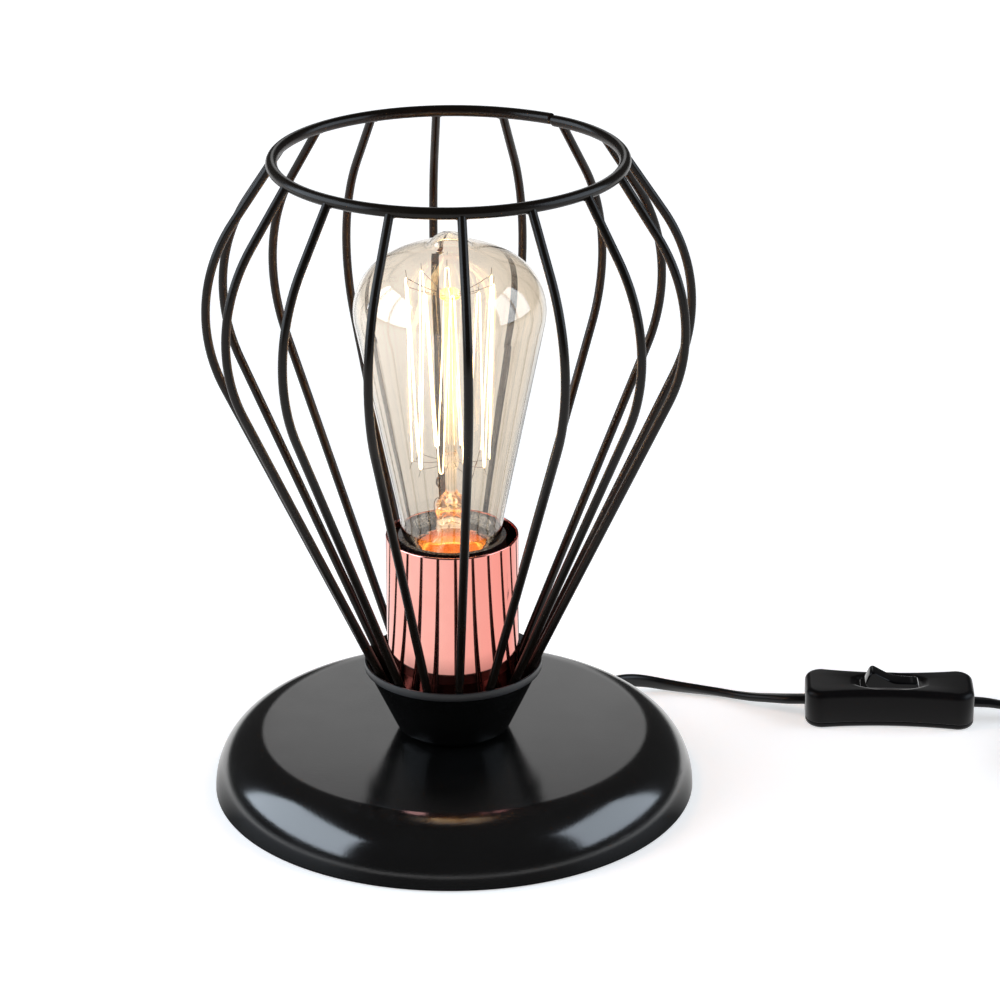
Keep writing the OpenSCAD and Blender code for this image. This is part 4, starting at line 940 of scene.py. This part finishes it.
# %% Lead-in wires
LEAD_R, STUB_R = 0.16, 0.32
loop = [(3.4, 0.4, 104), (4.4, 0.6, 105.4), (5.5, 0.5, 104.6), (5.9, 0.3, 102.5), (5.5, 0, 99.5),
        (5.3, 0, 96)]
stub = [(-3.6, 0.5, 105), (-4.0, 0.4, 107), (-3.8, 0.3, 108.6), (-4.9, 0.1, 111), (-4.5, 0, 113)]
shape = Shape()
for way in (1, -1):
    end = ring_spot(FOOT_R - 0.2, way * step / 2, FOOT_Z - 0.5)
    lead = [(3.2, way * 0.5, 104), (3.6, way * 0.8, 106.5), (6, way * 1.6, 110.5), end]
    add_wire(shape, lead, LEAD_R, Vector((0.3, 1, 0)))
    add_wire(shape, [(way * x, y, z) for x, y, z in loop], LEAD_R, Vector((0, 1, 0)))
add_wire(shape, stub, STUB_R, Vector((0, 1, 0)))
shape.piece("lead_in_pair", "bulb", "bulb_wire", ["lead_in_wires"])

# %% [markdown]
# ## The in-line switch
#
# The housing is moulded in two halves. Seen from above it is a rounded rectangle whose long
# sides are hollow; its upper edge is softly rounded, and an oval is sunk into the top round
# the rocker's window. One skin of rings makes all of it: every ring has the same number of
# points, so a ring can change from the outline to the oval and then to the window.

# %% The switch's outlines
CORNER_X, CORNER_Y, CORNER_R, WAIST = 24.0, 5.5, 6.0, 2.2


def in_switch_place(p):
    """From the switch's own frame to the lamp's."""
    c, s = math.cos(SWITCH_TURN), math.sin(SWITCH_TURN)
    return (SWITCH_X + p[0] * c - p[1] * s, SWITCH_Y + p[0] * s + p[1] * c, p[2])


def switch_outline(inset, steps=12):
    """Four round corners, with hollow sides whose arcs start and end at the corners."""
    r = CORNER_R - inset
    hollow = (CORNER_X ** 2 + WAIST ** 2) / (2 * WAIST)
    swing = math.degrees(math.asin(CORNER_X / hollow))
    middle = CORNER_Y + CORNER_R - WAIST + hollow
    return (arc((CORNER_X, CORNER_Y), r, 0, 90, steps)
            + arc((0, middle), hollow + inset, 270 + swing, 270 - swing, 2 * steps)[1:-1]
            + arc((-CORNER_X, CORNER_Y), r, 90, 180, steps)
            + arc((-CORNER_X, -CORNER_Y), r, 180, 270, steps)
            + arc((0, -middle), hollow + inset, 90 + swing, 90 - swing, 2 * steps)[1:-1]
            + arc((CORNER_X, -CORNER_Y), r, 270, 360, steps))


def oval(long, wide, square=2.0):
    """An oval with a point for each point of the outline. A high square makes it a rectangle."""
    found = []
    for x, y in switch_outline(0):
        a = math.atan2(y / wide, x / long)
        c, s = math.cos(a), math.sin(a)
        reach = (abs(c) ** square + abs(s) ** square) ** (-1 / square)
        found.append((long / 2 * c * reach, wide / 2 * s * reach))
    return found


# %% Switch housings: each level is an outline and its height
SWITCH_H, TOP_ROUND, FOOT_ROUND = 14.0, 2.4, 2.0


def housing(name, levels, node):
    rings = [[in_switch_place((x, y, z)) for x, y in outline] for outline, z in levels]
    return Shape().skin(rings).piece(name, "lamp", "matt_black_housing", [node], crease=50)


levels = [(switch_outline(0.12), 2.41), (switch_outline(0), 2.55)]
levels += [(switch_outline(TOP_ROUND * (1 - math.cos(a))), SWITCH_H - TOP_ROUND + TOP_ROUND * math.sin(a))
           for a in [math.pi / 2 * i / 10 for i in range(11)]]
levels += [(oval(29.9, 15.3), SWITCH_H), (oval(29.6, 15.0), 13.98), (oval(28.4, 13.9), 13.82),
           (oval(26.4, 12.0), 13.5), (oval(24.4, 10.0, 3), 13.3), (oval(21.6, 8.2, 6), 13.22),
           (oval(21.0, 7.8, 12), 13.15), (oval(20.8, 7.6, 12), 12.9), (oval(20.8, 7.6, 12), 4.0)]
switch_top = housing("switch_upper_half", levels, "switch_top")
levels = [(switch_outline(FOOT_ROUND * (1 - math.sin(a))), FOOT_ROUND * (1 - math.cos(a)))
          for a in [math.pi / 2 * i / 8 for i in range(9)]]
levels += [(switch_outline(0), 2.25), (switch_outline(0.12), 2.39)]
switch_bottom = housing("switch_lower_half", levels, "switch_bottom")
show_size(switch_top)

# %% [markdown]
# ## The rocker
#
# The rocker is a glossy saddle: two ridges with a low middle, tilted on its pin. Its side view
# is a smooth line, carried across its width with rounded long edges: each ring of the round is
# the side view drawn in towards its middle. It rides on its own body, so it swings on the pin.

# %% The rocker's side view, as shares of its half length and of its ridge's height
HALF_L, RIDGE, HALF_W, EDGE_ROUND = 9.6, 6.9, 3.4, 0.7
side_shares = [(1, 0.3), (0.99, 0.55), (0.96, 0.8), (0.91, 0.95), (0.84, 1), (0.76, 0.985), (0.6, 0.93),
               (0.4, 0.865), (0.2, 0.81), (0, 0.785)]
half = [(a * HALF_L, b * RIDGE) for a, b in side_shares]
top_line = smooth_rows([(x, 0, z) for x, z in half + [(-x, z) for x, z in half[-2::-1]]], 4)
below = [(-HALF_L, 0, 2.0), (-5.3, 0, -2.4), (5.3, 0, -2.4), (HALF_L, 0, 2.0)]
profile = top_line + [Vector(p) for p in below]

# %% Rocker
PIN_Z, TILT, ROUND_STEPS = 10, math.radians(15), 5
middle = Vector((0, 0, 1.5))
tilt = Matrix.Rotation(TILT, 3, "Y")
rings = []
for side in (-1, 1):
    for k in range(ROUND_STEPS + 1):
        a = math.pi / 2 * (k if side < 0 else ROUND_STEPS - k) / ROUND_STEPS
        inset = EDGE_ROUND * (1 - math.sin(a))
        y = side * (HALF_W - EDGE_ROUND * (1 - math.cos(a)))
        spots = [p + (middle - p).normalized() * inset + Vector((0, y, 0)) for p in profile]
        rings.append([in_switch_place(tilt @ p + Vector((0, 0, PIN_Z))) for p in spots])
rocker = Shape().skin(rings).piece(
    "glossy_rocker", "switch_rocker", "glossy_rocker", ["switch_rocker"], crease=50)
show_size(rocker)

# %% [markdown]
# ## The plug
#
# The photograph doesn't reach as far as the plug, but the cord must end in one. It is a flat
# two-pin plug: a ribbed tail, and a body that widens to a flat block with soft edges. Its two
# pins carry over from the frame.

# %% Plug
TAIL_W, BODY_W, BODY_T, RIBS, SWELLS, FRONT_SQUARE = 9.0, 35.0, 13.4, 5, 8, 2.7


def in_plug_place(p):
    """The plug's own frame has its pins along +X; the lamp has them along -Y."""
    return (PLUG_X + p[1], PLUG_Y - p[0], PLUG_Z + p[2])


def plug_ring(x, wide, thick, square=2, count=48):
    """A section of the plug: an oval, or nearer to a rectangle the higher the square."""
    ring = []
    for i in range(count):
        a = math.tau * i / count
        c, s = math.cos(a), math.sin(a)
        reach = (abs(c) ** square + abs(s) ** square) ** (-1 / square)
        ring.append(in_plug_place((x, wide / 2 * c * reach, thick / 2 * s * reach)))
    return ring


rings = [plug_ring(0, 5.2, 5.2)]
for rib in range(RIBS):
    low, wide = 0.3 + rib * 2.6, 2 * (3.0 + rib * 0.36)
    rings += [plug_ring(low + up, wide + more, wide + more)
              for up, more in ((0, 0), (0.3, 0.6), (1.5, 0.8), (1.8, 0.1))]
for t in [i / SWELLS for i in range(SWELLS + 1)]:
    ease = t * t * (3 - 2 * t)
    wide, thick = TAIL_W + (BODY_W - TAIL_W) * ease, TAIL_W + (BODY_T - TAIL_W) * ease
    rings.append(plug_ring(14 + 16.6 * t, wide, thick, 2 + (FRONT_SQUARE - 2) * ease))
rings += [plug_ring(x, BODY_W + more, BODY_T + more, FRONT_SQUARE)
          for x, more in ((31.2, 0.3), (41.2, 0.3), (41.8, -0.1), (42.0, -1.0))]
plug = Shape().skin(rings).piece("moulded_plug", "lamp", "moulded_black", ["plug_body"], crease=50)
show_size(plug)

# %% [markdown]
# ## The cord's pieces in mirrors
#
# In the photograph the polished copper mirrors nothing but a clean white floor and the rods, so
# mirrors pass over the pieces on the cord.

nodes = frame["nodes"]
[p * MM for p in first_route]
[p * MM for p in second_route]

for unseen in (cord_to_switch, cord_to_plug, switch_top, switch_bottom, rocker, plug, nodes["coil_tie"]):
    unseen.visible_glossy = False

# %% [markdown]
# ## Floor, light and background
#
# The lamp stands on a plain pale floor in a white room, as in a product studio. The floor keeps
# the lamp's shadow. It looks white because its own faint glow is added for what the camera and
# the glass see, a little more with distance, and not because more light falls on the lamp.
# Mirrors see it evenly white, so that no shadow of the coil smudges the copper. Only the strip
# just in front of the base stays dark there, as painted shade where the base's shadow falls, and
# so does the floor seen at a very low slant, which gives the base its black flank.

# %% Floor
WHITE_FROM, DARK_TO = 0.146, 0.112
CAMERA_GLOW, GLASS_GLOW, MIRROR_GLOW, MIRROR_DARK = 0.55, 0.46, 1.02, 0.06
floor_mesh = bpy.data.meshes.new("floor")
floor_mesh.from_pydata([(-4, -4, 0), (4, -4, 0), (4, 4, 0), (-4, 4, 0)], [], [(0, 1, 2, 3)])
floor = bpy.data.objects.new("floor", floor_mesh)
bpy.context.scene.collection.objects.link(floor)
floor_paint = Finish("pale_floor", Roughness=0.6, Specular_IOR_Level=0.2, Emission_Strength=1.0)
camera_ray, mirror_ray, glass_ray = floor_paint.ray_kinds()
shade = floor_paint.between(floor_paint.grain(3, 2, 0.5), 0.3, 0.7)
distance = floor_paint.node("VectorMath", {"operation": "LENGTH"}, {0: floor_paint.place()}, output="Value")
away = floor_paint.between(distance, 0.25, 1.1)
front = floor_paint.between(floor_paint.along("Y"), 0.03, -0.03)
# painted shade: in mirrors the floor is dark in a strip just in front of the base, where its shadow falls
clear = 1 - floor_paint.between(distance, WHITE_FROM, DARK_TO) * front
steep = floor_paint.between(floor_paint.node("LayerWeight", {}, {"Blend": 0.5}, output="Facing"), 0.97, 0.9)
paint = floor_paint.mixed(shade, tone(*grey(0.8)), tone(*grey(0.82)))
for_camera, for_glass = camera_ray * (CAMERA_GLOW + away * 0.35), glass_ray * (GLASS_GLOW + away * 0.45)
for_mirror = mirror_ray * (clear * steep * MIRROR_GLOW + MIRROR_DARK)
floor_paint.feed(Base_Color=floor_paint.mixed(mirror_ray, paint, tone(*grey(0.02))),
                 Emission_Color=for_camera + for_mirror + for_glass)
floor_mesh.materials.append(floor_paint.material)

# %% [markdown]
# ## The white room
#
# The background is white because its colour is: the camera and the glass see the world at a
# strength of 1, while the light that it gives is held at a plain level. Mirrors see a white
# screen behind the lamp, low and not wide, and a dim room elsewhere. In the photograph the base's
# flat top is grey with such a screen's light, and its soft edge is black beside it.

# %% World
WORLD_LIGHT, SCREEN_GLOW, DIM_ROOM = 0.15, 0.92, 0.06
world = bpy.data.worlds.new("white_room")
bpy.context.scene.world = world
world.use_nodes = True
air = Nodes(world.node_tree)
camera_ray, mirror_ray, glass_ray = air.ray_kinds()
direction = air.node("TexCoord", output="Generated")
side, depth, rise = [air.node("SeparateXYZ", {}, {0: direction}, output=axis) for axis in "XYZ"]
screen = air.between(side.maths("ABSOLUTE", side), 0.13, 0.085) * air.between(depth, 0.5, 0.7)
screen = screen * air.between(rise, 0.52, 0.42) * SCREEN_GLOW + DIM_ROOM
plain = camera_ray + glass_ray
strength = plain + mirror_ray * screen + (1 - plain - mirror_ray) * WORLD_LIGHT
sky = world.node_tree.nodes["Background"]
air.plug_in(sky, {"Color": tone(1, 1, 1), "Strength": strength})

# %% [markdown]
# ## Two windows of light
#
# Two large soft lights stand upright, left and right of the lamp, and shine level across it.
# The left one is larger and stronger. Both are slightly blue, as the two long highlights on the
# base's edge show, and their height sets where those highlights lie.

# %% Lights
SKY_BLUE = (0.77, 0.88, 1.0)


def window(name, spot, wide, high, watts):
    """A light that stands upright and shines level across the lamp, along X."""
    data = bpy.data.lights.new(name, "AREA")
    data.shape, data.size, data.size_y = "RECTANGLE", wide, high
    data.energy, data.color = watts, SKY_BLUE
    light = bpy.data.objects.new(name, data)
    light.location = spot
    light.rotation_euler = Vector((-spot[0], 0, 0)).to_track_quat("-Z", "Y").to_euler()
    bpy.context.scene.collection.objects.link(light)
    print(name, watts, "W")


window("left_window", (-1.0, -0.18, 0.66), 1.3, 0.95, 16.8)
window("right_window", (0.95, -0.085, 0.61), 0.93, 0.86, 8.4)
